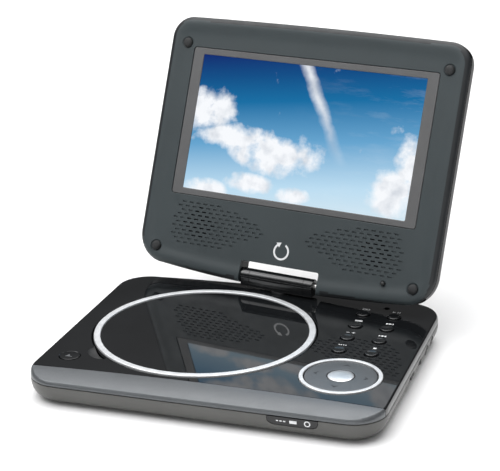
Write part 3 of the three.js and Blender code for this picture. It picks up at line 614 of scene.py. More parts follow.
# ---- base
def arc_profile(size, height, steps=10):
    """(inset, rise) pairs of a quarter ellipse from the tucked-in edge up to the full outline."""
    return [(size * s, height * c) for c, s in quarter(steps)]


def window_plan(grow):
    """The smoked window's outline, in X and Z."""
    centre = middle("indicator_window").x
    side, foot = centre - 14 - grow, 6 - grow
    plan = [(side, SEAM_Z + 1), (side, foot + 3.4)]
    plan += [(side + 5 * c, foot + 3.4 * s) for c, s in quarter(6)]
    return plan + [(2 * centre - x, z) for x, z in reversed(plan)]


def socket_place(node):
    """Where a socket made upright at the origin goes in its side wall."""
    c = middle(node)
    side = 1 if c.x > 0 else -1
    return shift(side * HALF_W, c.y, SOCKET_Z) @ spin(90 * side, "Y")


def front_prism(name, plan, y0, y1):
    """A prism along Y of a plan in X and Z."""
    return loft(name, [[(x, y1, z) for x, z in plan], [(x, y0, z) for x, z in plan]])


def make_lower_shell():
    skin = [base_ring(i, z) for i, z in arc_profile(7.4, 10, 14)]
    skin += [base_ring(0, SEAM_Z - 0.35), base_ring(0.12, SEAM_Z - 0.1), base_ring(0.4, SEAM_Z)]
    inside = [base_ring(2 + i, 2.4 + z) for i, z in arc_profile(6.4, 8.5, 8)] + [base_ring(2, SEAM_Z + 1)]
    tools = [loft("t", inside), front_prism("t", window_plan(GAP), FRONT_Y - 4, FRONT_Y + 1.7)]
    tools += [moved(turned("t", 0, 0, [(3.2, -14), (3.2, 1.5)], 40), socket_place(node)) for node in JACKS]
    c, (low, high) = middle("volume_wheel"), corners("volume_wheel")
    tools.append(turned("t", c.x, c.y, [(8.7, low.z - GAP), (8.7, high.z + GAP)], 64))
    tools.append(block("t", 90, 110, -13.8, -2.2, 5.9, 8.9))
    shell = cut(loft("lower_shell_skin", skin), *tools)
    under = [block("t", 46, 90, -40, 48, -1, 1.5), block("t", 48, 88, -38, 46, -1, 4)]
    for name in FEET:
        c = middle(name)
        under.append(turned("t", c.x, c.y, [(5.3, -1), (5.3, 0.8)], 48))
    for x, y in SCREWS:
        under.append(turned("t", x, y, [(2.9, -1), (2.9, 0.2), (2.6, 0.7), (2.6, 1.9)], 32))
    for row in range(5):
        for column in range(6):
            x, y = -82 + column * 8, -24 + row * 10
            under.append(prism("t", rounded_plan(x - 2.6, x + 2.6, y - 0.8, y + 0.8, 0.75, 4), -1, 1.2))
    cut(shell, *under)
    put(shell, "base", "warm_grey", "lower_shell")
    for i, (x, y) in enumerate(SCREWS):
        head = turned(f"case_screw_{i + 1}", x, y, [(1.9, 0.6), (2.3, 1.0), (2.3, 1.85)], 32)
        cut(head, block("t", x - 1.3, x + 1.3, y - 0.25, y + 0.25, 0, 1.1),
            block("t", x - 0.25, x + 0.25, y - 1.3, y + 1.3, 0, 1.1))
        put(head, "base", "steel")


def make_battery_cover():
    low, high = corners("battery_cover")
    rings = [(0.5, 0.0), (0.15, 0.12), (0, 0.4), (0, 1.2)]
    cover = slab("battery_door", low.x, high.x, low.y, high.y, 1.5, rings)
    centre = (low.x + high.x) / 2
    grooves = []
    for i in range(6):
        y = low.y + 8 + i * 2.2
        grooves.append(prism("t", rounded_plan(centre - 9, centre + 9, y - 0.55, y + 0.55, 0.5, 4), -1, 0.5))
    cut(cover, *grooves)
    put(cover, "base", "warm_grey", "battery_cover")


def make_window():
    skin = [base_ring(0.12 + i, z) for i, z in arc_profile(7.4, 10, 14)] + [base_ring(0.12, SEAM_Z - 0.2)]
    window = loft("window", skin)
    combine(window, [front_prism("t", window_plan(0), FRONT_Y - 4, FRONT_Y + 1.3)], "INTERSECT")
    put(window, "base", "smoked", "indicator_window")
    centre = middle("indicator_window").x
    marks = [block("t", centre - 1.6, centre + 2.4, -0.1, 0.1, -0.9, 0.9),
             moved(washer("t", 0, 0, 1.15, 1.75, -0.1, 0.1, 0.05, 40), shift(centre + 8.2) @ spin(90, "X"))]
    marks += [block("t", centre - 9 + i * 2, centre - 7.8 + i * 2, -0.1, 0.1, -0.35, 0.35) for i in range(3)]
    signs = moved(joined("window_marks", marks), shift(0, FRONT_Y + 0.22, 8.6) @ spin(8, "X"))
    put(signs, "base", "gear_white", look=PRINT)


def deck_rings():
    rings = [base_ring(0.4, SEAM_Z + GAP), base_ring(0.12, SEAM_Z + GAP + 0.12), base_ring(0, SEAM_Z + GAP + 0.4),
             base_ring(0, DECK_Z - 3)]
    return rings + [base_ring(1.6 * c, DECK_Z - 3 * s) for c, s in quarter(8, 1)]


def front_plan(gap):
    """What lies in front of the grey band's rear edge, moved back by `gap`."""
    plan = [(-130, -150), (130, -150)]
    for i in range(41):
        x = 130 - 260 * i / 40
        plan.append((x, STRIP_Y + gap - STRIP_BOW * (x / HALF_W) ** 2))
    return plan


def scoop(grow):
    """The finger dent beside the disc door, as a stretched ball."""
    ball = turned("t", 0, 0, [(cos(a), sin(a)) for a in (pi * (i / 16 - 0.5) for i in range(17))], 48)
    return moved(ball, shift(*SCOOP, DECK_Z + 0.9) @ spin(-45)
                 @ Matrix.Diagonal((9.5 + grow, 6.2 + grow, 3.6 + grow, 1)))


def make_deck():
    deck = loft("deck_skin", deck_rings())
    cut(deck, prism("t", base_plan(2), SEAM_Z - 2, DECK_Z - 2))
    x, y, hinge = DISC.x, DISC.y, joint_place("disc_door_hinge")
    extras = [turned("t", x, y, [(68, 8.2), (68, DECK_Z - 0.6)], 144)]
    extras += [block("t", x + side - 5.5, x + side + 5.5, hinge.y - 2.4, hinge.y + 2.6, 12.6, DECK_Z - 0.8)
               for side in (-28.5, 28.5)]
    extras.append(cut(scoop(1.4), block("t", -200, 200, -200, 200, DECK_Z - 0.7, 40)))
    for extra in extras:
        combine(deck, [extra], "UNION")
    cut(deck, turned("t", x, y, [
        (WELL_R - 0.8, WELL_FLOOR_Z), (WELL_R, WELL_FLOOR_Z + 0.8), (WELL_R, DECK_Z - 0.45),
        (WELL_R + 0.15, DECK_Z - 0.15), (WELL_R + 0.5, DECK_Z + 0.02), (WELL_R + 0.5, DECK_Z + 5)], 192))
    tools = [prism("t", front_plan(GAP), 0, 40)]
    tools += [mouth(c.x, c.y, KEY_R + GAP, 5, DECK_Z, 0.25, 0.3, 48) for c in KEYS]
    tools.append(mouth(OPEN.x, OPEN.y, OPEN_R + GAP, 5, DECK_Z, 0.3, 0.35, 64))
    tools.append(turned("t", NAV.x, NAV.y, [
        (NAV_IN - 0.2, 5), (NAV_IN - 0.2, DECK_Z - 0.7), (NAV_OUT + 0.25, DECK_Z - 0.7),
        (NAV_OUT + 0.25, DECK_Z - 0.2), (NAV_OUT + 0.5, DECK_Z + 0.02), (NAV_OUT + 0.5, 30)], 128))
    tools.append(mouth(0, TILT_PIN.y, 5.7, 5, DECK_Z, 0.3, 0.3, 64))
    tools.append(turned("t", PEG[0] + LID_SHIFT, DIMPLE_Y, [
        (1.6, DECK_Z - 1.2), (1.9, DECK_Z - 0.9), (1.9, DECK_Z - 0.2), (2.15, DECK_Z + 0.02), (2.15, 30)], 40))
    tools.append(turned("t", x, y, [(2.4, 0), (2.4, 12)], 40))
    tools.append(prism("t", rounded_plan(x + 17, x + 64.8, y - 14.5, y + 14.5, 2.5), 0, WELL_FLOOR_Z + 1))
    cut(deck, *tools)
    cut(deck, scoop(0))
    cut(deck, moved(block("t", 60, 72, -3.4, 3.4, 9.6, 11.9), shift(x, y) @ spin(LATCH_DEG)))
    cut(deck, moved(turned("t", 0, 0, [(1, -33), (1, 33)], 24), shift(*hinge) @ spin(90, "Y")))
    put(deck, "base", "piano_black", "top_deck", angle=28)

    # painted shade: the faces inside the finger dent get the dark matte rubber look, standing in for the dent's shade
    # and keeping the lamp's reflection off it
    def shaded_scoop_face(at, _way):
        dx, dy = at.x - SCOOP[0], at.y - SCOOP[1]
        along, across = (dx - dy) * sqrt(0.5), (dx + dy) * sqrt(0.5)
        return DECK_Z - 3.2 < at.z < DECK_Z - 0.05 and (along / 9.6) ** 2 + (across / 6.3) ** 2 < 1
    paint(deck, LOOK["rubber"], shaded_scoop_face)


def make_front_strip():
    """The band's nose is as sharp as the deck's edge where they meet, and rounder towards the front."""
    def nose(share_in, share_down):
        ring = []
        for (x0, y0), (x1, y1) in zip(base_plan(0), base_plan(8)):
            front = min(max((STRIP_Y - 4 - y0) / (STRIP_Y - 4 - FRONT_Y), 0), 1)
            t = (1.6 + 5.4 * front) * share_in / 8
            ring.append((x0 + (x1 - x0) * t, y0 + (y1 - y0) * t, DECK_Z - (3.0 + 1.5 * front) * share_down))
        return ring

    rings = [base_ring(0.4, SEAM_Z + GAP), base_ring(0.1, SEAM_Z + GAP + 0.12)]
    strip = loft("front_band", rings + [nose(c, s) for c, s in quarter(12)])
    cut(strip, prism("t", base_plan(2.2), SEAM_Z - 2, DECK_Z - 4.3))
    combine(strip, [prism("t", front_plan(0), 0, 40)], "INTERSECT")
    start = STRIP_Y + 1
    shares = [i / 24 for i in range(25)]
    profile = [(start - t * (start - FRONT_Y + 1), DECK_Z - 2.6 * t ** 1.9) for t in shares]
    profile += [(FRONT_Y - 1, SEAM_Z - 2), (start, SEAM_Z - 2)]
    fallen = face_out(loft("t", [[(x, y, z) for y, z in profile] for x in (-120, 120)]))
    combine(strip, [fallen], "INTERSECT")
    put(strip, "base", "satin_grey", "front_strip", angle=38)


def face_out(piece):
    """Turns the faces of a closed mesh outwards."""
    made = bmesh.new()
    made.from_mesh(piece.data)
    bmesh.ops.recalc_face_normals(made, faces=made.faces)
    made.to_mesh(piece.data)
    made.free()
    return piece


def make_feet():
    for name in FEET:
        c = middle(name)
        foot = turned(name + "_pad", c.x, c.y, [
            (2.6, -1.05), (2.9, -0.75), (3.2, -1.05), (3.4, -1.2), (4.3, -1.2), (4.8, -1.0), (5, -0.6), (5, 0.5)], 56)
        put(foot, "base", "rubber", name)


def make_disc_door():
    x, y, hinge = DISC.x, DISC.y, joint_place("disc_door_hinge")
    low, groove_z = DECK_Z - 2.2, DECK_Z - 0.8
    lid = turned("disc_door", x, y, [
        (9, low), (9, low - 0.35), (15, low - 0.35), (15, low), (DISC_LID_R - 6, low),
        (DISC_LID_R, low), (DISC_LID_R, DECK_Z - 0.7), (DISC_LID_R - 0.1, DECK_Z - 0.5),
        (DISC_LID_R - 0.35, DECK_Z - 0.4), (RING_OUT + 0.05, DECK_Z - 0.4), (RING_OUT + 0.05, groove_z),
        (RING_IN - 0.15, groove_z), (RING_IN - 0.15, DECK_Z - 0.25), (RING_IN - 0.4, DECK_Z)], 192)
    reach = sqrt(DISC_LID_R ** 2 - (hinge.y - y) ** 2)
    cut(lid, *[block("t", x + side - 3.5, x + side + 3.5, hinge.y - 1.6, hinge.y + 3, DECK_Z - 1.2, DECK_Z + 1)
               for side in (-27.5, 27.5)])
    parts = []
    for side in (-1, 1):
        pin = turned("t", 0, 0, [(0.7, 0), (0.7, 5.6), (0.5, 5.8)], 24)
        parts.append(moved(pin, shift(hinge.x + side * (reach - 2.3), hinge.y, hinge.z) @ spin(90 * side, "Y")))
    for r, top in ((63, low + 0.5), (64.6, 11)):
        parts.append(moved(block("t", 61.5, r, -2.4, 2.4, 10, top), shift(x, y) @ spin(LATCH_DEG)))
    for part in parts:
        combine(lid, [part], "UNION")
    put(lid, "disc_door", "piano_black", "disc_lid", angle=28)
    ring = washer("disc_door_ring", x, y, RING_IN, RING_OUT, DECK_Z - 0.5, DECK_Z + 0.7, 0.55, 192)
    put(ring, "disc_door", "silver", "disc_ring", angle=60)


# ---- keys and marks
def make_keys():
    for i, c in enumerate(KEYS):
        cap = turned(f"key_cap_{i + 1}", c.x, c.y, [
            (1.4, 12.6), (1.4, 13.1), (KEY_R, 13.1), (KEY_R, KEY_TOP - 0.55), (KEY_R - 0.08, KEY_TOP - 0.3),
            (KEY_R - 0.3, KEY_TOP - 0.08), (KEY_R - 0.6, KEY_TOP), (KEY_R - 0.95, KEY_TOP - 0.06),
            (KEY_R - 1.6, KEY_TOP - 0.22), (KEY_R - 2.6, KEY_TOP - 0.33), (0, KEY_TOP - 0.38)], 56)
        put(cap, f"key_{i + 1}", "piano_black", f"key_{i + 1}")


def triangle(x, y, size, way):
    back, tip, half = x - way * size * 0.5, x + way * size * 0.5, size * 0.55
    return [(back, y - half), (tip, y), (back, y + half)][::way]


def icon(kind):
    """Flat outlines of a generic sign, about 2 mm high and centred on the origin."""
    s = 1.9
    tall = (-s / 2, s / 2)
    if kind == "dots":
        return [bar(-2.4 + i * 1.3, -1.6 + i * 1.3, -0.35, 0.35) for i in range(4)]
    return {
        "play": [triangle(-1.6, 0, s, 1), bar(0.3, 0.9, *tall), bar(1.5, 2.1, *tall)],
        "stop": [bar(-0.9, 0.9, -0.9, 0.9)],
        "next": [triangle(-1.3, 0, s, 1), triangle(0.5, 0, s, 1), bar(1.7, 2.2, *tall)],
        "back": [triangle(1.3, 0, s, -1), triangle(-0.5, 0, s, -1), bar(-2.2, -1.7, *tall)],
        "list": [bar(-2.2, 2.2, y - 0.2, y + 0.2) for y in (-0.75, 0, 0.75)],
        "frame": [bar(-2.2, 2.2, -1, -0.65), bar(-2.2, 2.2, 0.65, 1), bar(-2.2, -1.8, -0.65, 0.65),
                  bar(1.8, 2.2, -0.65, 0.65), bar(-0.7, 0.7, -0.25, 0.25)],
        "plus": [bar(-2.6, -0.8, -0.2, 0.2), bar(0.6, 2.6, -0.2, 0.2), bar(1.4, 1.8, -0.95, -0.2),
                 bar(1.4, 1.8, 0.2, 0.95)],
    }[kind]


def flat_marks(name, outlines, x, y, z, thick=0.05):
    parts = [prism("t", [(x + px, y + py) for px, py in shape], z - 0.03, z + thick) for shape in outlines]
    return joined(name, parts)


def make_marks():
    kinds = ("frame", "play", "list", "next", "plus", "back", "dots", "stop")
    for i, (c, kind) in enumerate(zip(KEYS, kinds)):
        put(flat_marks(f"key_sign_{i + 1}", icon(kind), c.x, c.y + 8.2, DECK_Z), "base", "gear_white", look=PRINT)
    lid_sign = [triangle(0, 0.5, 2.4, 1), bar(-2.0, 2.0, -1.7, -1.2)]
    lift = [[(-y, x) for x, y in lid_sign[0]], lid_sign[1]]
    put(flat_marks("open_sign", lift, OPEN.x, OPEN.y, DECK_Z + 0.3), "open_button", "gear_white",
        look=plastic("print_grey", (0.10, 0.105, 0.11), 0.5, 0.2, 0.002, 0.03))


def make_nav():
    ring = washer("direction_ring", NAV.x, NAV.y, NAV_IN, NAV_OUT, DECK_Z - 0.4, DECK_Z + 0.7, 0.42, 160)
    put(ring, "base", "silver", "nav_ring", angle=60)
    rim = NAV_PAD_R - 0.5
    section = [(OK_R + 0.4, 14.4), (NAV_PAD_R, 14.4), (NAV_PAD_R, DECK_Z - 0.35), (NAV_PAD_R - 0.12, DECK_Z),
               (rim, DECK_Z + 0.22)]
    for i in range(1, 9):
        section.append((rim - (rim - OK_R - 1.0) * i / 8, DECK_Z + 0.22 + 0.28 * sin(pi / 2 * i / 8)))
    section += [(OK_R + 0.55, DECK_Z + 0.42), (OK_R + 0.4, DECK_Z + 0.2)]
    put(hoop("direction_pad", NAV.x, NAV.y, section, 128), "nav_pad", "pad_grey", "nav_pad")
    arrow = [(-2.0, 13.2), (0, 15.5), (2.0, 13.2), (0, 14.0)]
    for i, name in enumerate(("rear", "left", "front", "right")):
        c, s = cos(pi / 2 * i), sin(pi / 2 * i)
        shape = [(px * c - py * s, px * s + py * c) for px, py in arrow]
        mark = flat_marks(f"direction_sign_{name}", [shape], NAV.x, NAV.y, DECK_Z + 0.44, 0.06)
        put(mark, "nav_pad", "black_plastic", look=MARK)
    ok = turned("ok_cap", NAV.x, NAV.y, [
        (1.6, 12.5), (1.6, 13.6), (OK_R, 13.6), (OK_R, DECK_Z + 0.05), (OK_R - 0.12, DECK_Z + 0.32),
        (OK_R - 0.45, DECK_Z + 0.52), (OK_R - 1.6, DECK_Z + 0.70), (OK_R - 3.6, DECK_Z + 0.84),
        (OK_R - 5.6, DECK_Z + 0.89), (0, DECK_Z + 0.9)])
    put(ok, "ok_button", "silver", "ok_button", look=metal("ok_metal", (0.78, 0.79, 0.80), 0.34, (60, 1600, 60)))
    button = turned("open_cap", OPEN.x, OPEN.y, [
        (1.5, 12.2), (1.5, 13.2), (OPEN_R, 13.2), (OPEN_R, DECK_Z), (OPEN_R - 0.1, DECK_Z + 0.2),
        (OPEN_R - 0.3, DECK_Z + 0.3)], 72)
    put(button, "open_button", "piano_black", "open_button")


# ---- disc drive
def make_drive():
    x, y = DISC.x, DISC.y
    hub = turned("spindle_hub", x, y, [
        (12.6, 9.8), (13, 10.1), (13, 11.1), (12.7, 11.4), (11.9, 11.4), (11.9, 11.15), (8.2, 11.15), (8.2, 11.4),
        (7.4, 11.4), (7.4, 12.5), (7.2, 12.9), (6.6, 13.25), (6.0, 13.4), (2.2, 13.4), (1.9, 13.0)])
    thirds = (0, 120, 240)
    slots = [moved(block("t", 5.6, 8, -1.6, 1.6, 11.5, 12.7), shift(x, y) @ spin(a)) for a in thirds]
    cut(hub, *slots, turned("t", x, y, [(1.3, 0), (1.3, 12.8)], 32))
    put(hub, "hub", "black_plastic", "disc_hub")
    ball = [(0, 11.55), (0.8, 11.7), (1.15, 12.1), (0.8, 12.5), (0, 12.65)]
    balls = [turned("t", x + 6.3 * cos(radians(a)), y + 6.3 * sin(radians(a)), ball, 24) for a in thirds]
    put(joined("hub_balls", balls), "hub", "steel")
    glass = turned("pickup_lens", LENS_X, y, [
        (1.9, 11.2), (1.9, 11.75), (1.6, 11.95), (0.9, 12.1), (0, 12.15)], 40)
    put(glass, "pickup", "screen", look=lens_material())
    collar = washer("pickup_lens_collar", LENS_X, y, 2.0, 3.4, 11.3, 11.7, 0.2, 48)
    put(collar, "pickup", "black_plastic")


def lens_material():
    g = Graph("lens")
    g.set(Base_Color=g.mix(g.spread(g.noise(900), 0, 1), (0.03, 0.05, 0.12, 1), (0.05, 0.09, 0.2, 1)))
    g.set(Roughness=g.spread(g.noise(500), 0.02, 0.06), IOR=1.55, Coat_Weight=1.0, Coat_Roughness=0.02)
    return g.material


# ---- sockets, wheel and switch
def make_sockets():
    for node in JACKS:
        place = socket_place(node)
        body = turned(node + "_sleeve", 0, 0, [
            (2.9, -15), (2.9, -0.9), (2.7, -0.7), (2.0, -0.7), (1.75, -1.0), (1.75, -9)], 56)
        put(moved(body, place), "base", "black_plastic", node)
        contact = washer(node + "_contact", 0, 0, 1.35, 1.74, -6.5, -1.6, 0.1, 48)
        put(moved(contact, place), "base", "steel")
    c, (low, high) = middle("volume_wheel"), corners("volume_wheel")
    teeth = 72
    plan = []
    for i in range(teeth * 2):
        r = 8.2 if i % 2 else 7.95
        plan.append((r * cos(pi * i / teeth), r * sin(pi * i / teeth)))
    wheel = loft("volume_dial", [
        [(c.x + px * s, c.y + py * s, z) for px, py in plan]
        for s, z in ((0.97, low.z), (1, low.z + 0.25), (1, high.z - 0.25), (0.97, high.z))])
    cut(wheel, turned("t", c.x, c.y, [(1.2, 0), (1.2, 20)], 32))
    put(wheel, "volume_wheel", "black_plastic", "volume_wheel", angle=20)
    low, high = corners("power_switch")
    y0, y1, face, edge = low.y, high.y, HALF_W + 0.1, 0.25
    rings = [(0, HALF_W - 4.8), (0, face - edge)] + [(edge * c, face - edge * s) for c, s in quarter(4, 1)]
    knob = moved(slab("power_knob", 0.8 - high.z, -6.2, y0, y1, 0.4, rings), spin(90, "Y"))
    cut(knob, *[block("t", HALF_W - 0.2, HALF_W + 1, y0 + 1.2 + 0.9 * i, y0 + 1.55 + 0.9 * i, 5, 10)
                for i in range(7)])
    combine(knob, [block("t", HALF_W - 8, HALF_W - 4.6, y0 + 1, y1 - 1, 5.4, 9.4)], "UNION")
    put(knob, "power_switch", "black_plastic", "power_switch")


# ---- hinge
def make_hinge():
    low_x, high_x = BARREL_X
    foot, pin_z = BARREL_FOOT, TILT_PIN.z
    angles = [pi * (1.16 * i / 39 - 0.08) for i in range(40)]
    rear = [(-4.2, -3.4), (-4.1, foot + 0.5), (-3.95, foot + 0.15), (-3.6, foot)]
    section = [(BARREL_R * cos(a), BARREL_R * sin(a)) for a in angles] + rear
    section += [(-y, z) for y, z in reversed(rear)]
    rings = []
    for x, shrink in ((low_x, 0.35), (low_x + 0.12, 0.12), (low_x + 0.4, 0), (high_x - 0.4, 0),
                      (high_x - 0.12, 0.12), (high_x, 0.35)):
        k = 1 - shrink / 5
        rings.append([(x, y * k, z * k) for y, z in section])
    barrel = moved(face_out(loft("hinge_barrel", rings)), shift(z=pin_z))
    tools = []
    for x0, x1 in ((low_x - 1, low_x + 10), (high_x - 10, high_x + 1)):
        tools.append(moved(turned("t", 0, 0, [(PIN_BORE_R, x0), (PIN_BORE_R, x1)], 48), shift(z=pin_z) @ spin(90, "Y")))
    tools.append(turned("t", 0, 0, [(2.4, 0), (2.4, pin_z - 1)], 48))
    for x in (low_x + 6.2, high_x - 6.2):
        groove = washer("t", 0, 0, BARREL_R - 0.25, BARREL_R + 1, -0.18, 0.18, 0.02, 96)
        tools.append(moved(groove, shift(x, 0, pin_z) @ spin(90, "Y")))
    cut(barrel, *tools)
    put(barrel, "swivel", "piano_black", "hinge_block", place=SWIVEL, look=BARREL, angle=30)
    top = pin_z + foot - GAP
    column = hoop("swivel_post", 0, 0, [
        (2.4, 5), (5.4, 5), (5.4, 11.6), (4.4, 11.6), (4.4, 13.4), (5.4, 13.4), (5.4, top - 0.4), (5.2, top),
        (2.4, top)], 96)
    put(column, "swivel", "black_plastic", "swivel_column", place=SWIVEL)


# ---- screen lid
def slot_plan(x, y, half_length=1.55, half_height=0.42):
    plan = []
    for cx, start in ((x + half_length - half_height, -90), (x - half_length + half_height, 90)):
        for i in range(5):
            a = radians(start + 45 * i)
            plan.append((cx + half_height * cos(a), y + half_height * sin(a)))
    return plan


def speaker_slots():
    """Places of the slots on the right-hand side, and whether each goes through."""
    places = []
    for row in range(-5, 6):
        y = SPEAKER_Y - 0.3 + row * 2.6
        up = (y - 28) / 12.5
        inner = 11 + 36 * up ** 1.15 if up > 0 else 11 + 26 * (-up) ** 1.2
        outer = 80 - 5 * max(0.0, up) - 2 * max(0.0, -up)
        for i in range(15):
            x = 11 + 5 * i + 2.5 * (row % 2)
            if inner < x < outer:
                places.append((x, y, hypot(x - SPEAKER_X, y - SPEAKER_Y) + 1.7 < SPEAKER_R))
    return places


def lid_hollow(inset, z0, z1):
    """The inside of a lid shell, less the block that stays round the notch."""
    return cut(prism("t", lid_plan(inset), z0, z1), block("t", -28.8, 28.8, -30, 10.6, -20, 20))


def hinge_cuts():
    """The lid's notch for the hinge, and the bores for the pins."""
    return (prism("t", rounded_plan(-NOTCH_HALF, NOTCH_HALF, -30, NOTCH_TOP, 1.2, 6), -20, 20),
            moved(turned("t", 0, 0, [(PIN_BORE_R, -31), (PIN_BORE_R, 31)], 40), spin(90, "Y")))


RIM = (
    (0.5, LID_PARTING), (0.15, LID_PARTING + 0.15), (0.05, LID_PARTING + 0.5), (0.3, 4.25), (0.75, 4.85),
    (1.4, 5.35), (2.2, 5.7), (3.2, 5.92), (4.3, 6.0), (5.4, 5.97), (6.6, 5.85), (7.8, 5.66), (9.0, 5.46),
    (10.2, 5.32), (11.4, 5.24), (12.6, 5.2), (14.0, FACE_Z), (16.0, FACE_Z),
)


def make_bezel():
    bezel = loft("bezel", [lid_ring(inset, z) for inset, z in RIM])
    notch, pins = hinge_cuts()
    half_w, half_h = WINDOW_W / 2, WINDOW_H / 2
    rings = [(0, -5), (0, FACE_Z - 0.3), (-0.1, FACE_Z - 0.1), (-0.3, FACE_Z + 0.02), (-0.3, 20)]
    window = slab("t", -half_w, half_w, SCREEN_Y - half_h, SCREEN_Y + half_h, 1.8, rings, 6)
    tools = [lid_hollow(1.9, LID_PARTING - 3, LID_FACE - 2), notch, window]
    tools += [mouth(x, y, BUMPER_R + 0.3, LID_FACE - 1.1, FACE_Z, 0.35, 0.6, 56) for x, y in BUMPERS.values()]
    cut(bezel, *tools, mouth(*PEG, 1.6, LID_FACE - 1.1, FACE_Z, 0.3, 0.4, 40), pins)
    slots = []
    for x, y, through in sorted(speaker_slots(), key=lambda slot: -slot[2]):
        for side in (-1, 1):
            foot = LID_FACE - 4 if through else FACE_Z - 0.7
            slots.append(prism("t", slot_plan(side * x, y), foot, LID_FACE + 1))
    cut(bezel, *slots)
    put(bezel, "lid", "slate", "lid_bezel", place=LID, angle=30)

    # painted shade: the bezel's rolled rim, within 3.4 mm of its outline, is picked for the darker slate
    def painted_shade_rim(at, way):
        upper = at.y > 80
        corner = LID_TOP_CORNER_R if upper else LID_CORNER_R
        dx = LID_HALF_W - abs(at.x)
        dy = LID_TOP + LID_TOP_BOW - at.y if upper else at.y - LID_BOTTOM + LID_BOTTOM_BOW
        away = min(dx, dy)
        if dx < corner and dy < corner:
            away = corner - hypot(corner - dx, corner - dy)
        return away < 3.4 and way.z < 0.98 and (abs(at.x) > 30 or upper)

    # painted shade: the walls of the speaker slots get the glossy black shell material, standing in for the shade
    # inside the slots
    def shaded_slot_wall(at, way):
        return hypot(abs(at.x) - SPEAKER_X, at.y - SPEAKER_Y) < SPEAKER_R + 2 and way.z < 0.5
    paint(bezel, PAINTED_RIM_SHADE, painted_shade_rim, LID)
    paint(bezel, SHELL, shaded_slot_wall, LID)


def make_lid_back():
    rings = [lid_ring(i, LID_REAR + z) for i, z in arc_profile(5, 5)]
    rings += [lid_ring(0, LID_PARTING - 0.8), lid_ring(0.1, LID_PARTING - 0.45), lid_ring(0.4, LID_PARTING - 0.3)]
    back = cut(loft("lid_shell", rings), lid_hollow(3, LID_REAR + 1.8, 20), *hinge_cuts())
    put(back, "lid", "piano_black", "lid_back", place=LID, look=SHELL, angle=30)
    head = [(2.2, LID_REAR - 0.02), (2.5, LID_REAR + 0.2), (2.5, LID_REAR + 1.4)]
    plugs = [turned("t", x, y, head, 32) for x, y in ((-82, 16), (82, 16), (-82, 140), (82, 140))]
    put(joined("lid_screw_plugs", plugs), "lid", "rubber", place=LID)


def make_screen():
    half_w, half_h = LCD_W / 2, LCD_H / 2
    rings = []
    for w, h, z in ((84.35, 47.2, 4.85), (84.1, 46.95, 5.0), (77.5, 43.75, 5.0), (77.3, 43.55, 4.92),
                    (half_w, half_h, 4.75), (half_w, half_h, 2.5), (84.35, 47.2, 2.5)):
        rings.append(level(rounded_plan(-w, w, SCREEN_Y - h, SCREEN_Y + h, 1.6 if w > 80 else 0.8, 4), z))
    put(tube("screen_border", rings), "lid", "border_grey", "screen_surround", place=LID, angle=25)
    picture = block("screen_picture", -76.9, 76.9, SCREEN_Y - 43.15, SCREEN_Y + 43.15, -1.9, 4.6)
    coordinates = picture.data.uv_layers.new(name="picture")
    for loop in picture.data.loops:
        x, y, _ = picture.data.vertices[loop.vertex_index].co / MM
        coordinates.data[loop.index].uv = ((x + half_w) / LCD_W, (y - SCREEN_Y + half_h) / LCD_H)
    put(picture, "lid", "screen", "lcd_panel", place=LID)


def make_lid_trim():
    for name, (x, y) in BUMPERS.items():
        dome = turned(name + "_dome", x, y, [
            (BUMPER_R, LID_FACE - 0.95), (BUMPER_R, LID_FACE - 0.35), (BUMPER_R - 0.1, LID_FACE + 0.05),
            (BUMPER_R - 0.4, LID_FACE + 0.5), (BUMPER_R - 0.9, LID_FACE + 0.88), (BUMPER_R - 1.6, LID_FACE + 1.15),
            (BUMPER_R - 2.3, LID_FACE + 1.27), (0, LID_FACE + 1.3)], 56)
        put(dome, "lid", "rubber", name, place=LID)
    peg = turned("lid_catch_peg", *PEG, [
        (1.3, LID_FACE - 0.95), (1.3, LID_FACE + 0.9), (1.1, LID_FACE + 1.2), (0.7, LID_FACE + 1.4)], 40)
    put(peg, "lid", "black_plastic", "lid_peg", place=LID)

    def around(r, a):
        return -0.5 + r * cos(a), 18 + r * sin(a)
    start, end, count = 128, 420, 48
    angles = [radians(start + (end - start) * i / count) for i in range(count + 1)]
    arc = [around(5.4, a) for a in angles] + [around(4.2, a) for a in reversed(angles)]
    a = angles[0]
    x, y = around(4.8, a)
    head = [(x + 3.0 * sin(a), y - 3.0 * cos(a)), around(4.8 - 1.75, a), around(4.8 + 1.75, a)]
    put(flat_marks("swivel_sign", [arc, head], 0, 0, FACE_Z, 0.06), "lid", "gear_white", place=LID, look=PRINT)


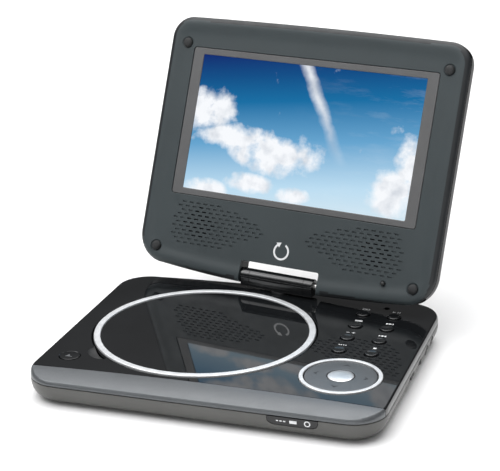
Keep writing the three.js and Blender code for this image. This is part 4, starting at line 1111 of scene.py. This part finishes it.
# ---- studio
def make_studio():
    floor = mesh_object("floor", level(bar(-6000, 6000, -6000, 9000), -1.25), [(0, 1, 2, 3)])
    g = Graph("studio_floor")
    g.set(Base_Color=g.mix(g.noise(3), (0.90, 0.90, 0.90, 1), (0.93, 0.93, 0.93, 1)), Roughness=0.9)
    floor.data.materials.append(g.material)

    world = bpy.context.scene.world = bpy.data.worlds.new("studio")
    g = Graph("studio", world, "Background")
    up = g.node("SeparateXYZ", {0: g.coordinate["Generated"]}).outputs[2]
    stops = ((0.0, 0.03), (0.30, 0.035), (0.55, 0.35), (1.0, 0.9))
    g.set(Color=g.ramp(up, [(at, (value, value, value * 1.01)) for at, value in stops]), Strength=1.0)

    def softbox(name, place, aim, width, height, power):
        light = bpy.data.lights.new(name, "AREA")
        light.shape = "RECTANGLE"
        light.size, light.size_y = width, height
        light.energy = power
        lamp = bpy.data.objects.new(name, light)
        lamp.location = place
        lamp.rotation_euler = (Vector(aim) - Vector(place)).to_track_quat("-Z", "Y").to_euler()
        bpy.context.scene.collection.objects.link(lamp)

    softbox("overhead", (-0.3, 0.3, 1.9), (0, 0.1, 0), 3.0, 2.4, 62)
    softbox("front_left", (-1.6, -1.0, 1.9), (0, 0, 0.1), 1.2, 1.0, 12)
    softbox("front_low", (0.2, -2.3, 0.55), (0, 0, 0.02), 2.2, 0.5, 9)


def make_camera():
    data = bpy.data.cameras.new("camera")
    data.lens = 115.79
    data.sensor_width = 36
    camera = bpy.data.objects.new("camera", data)
    camera.location = (0.27558, -0.81979, 0.38417)
    camera.rotation_euler = [radians(a) for a in (70.5576, 0.7741, 17.9519)]
    bpy.context.scene.collection.objects.link(camera)
    bpy.context.scene.camera = camera
    bpy.context.scene.view_settings.view_transform = "Standard"


make_camera()
make_studio()
make_lower_shell()
make_battery_cover()
make_window()
make_deck()
make_front_strip()
make_feet()
make_disc_door()
make_keys()
make_marks()
make_nav()
make_drive()
make_sockets()
make_hinge()
make_bezel()
make_lid_back()
make_screen()
make_lid_trim()

SLOTS = {part["node"]: part["material_slot"] for part in frame["record"]["subparts"]}
for node, piece in frame["nodes"].items():
    piece.data.materials.clear()
    piece.data.materials.append(LOOK[SLOTS[node]])
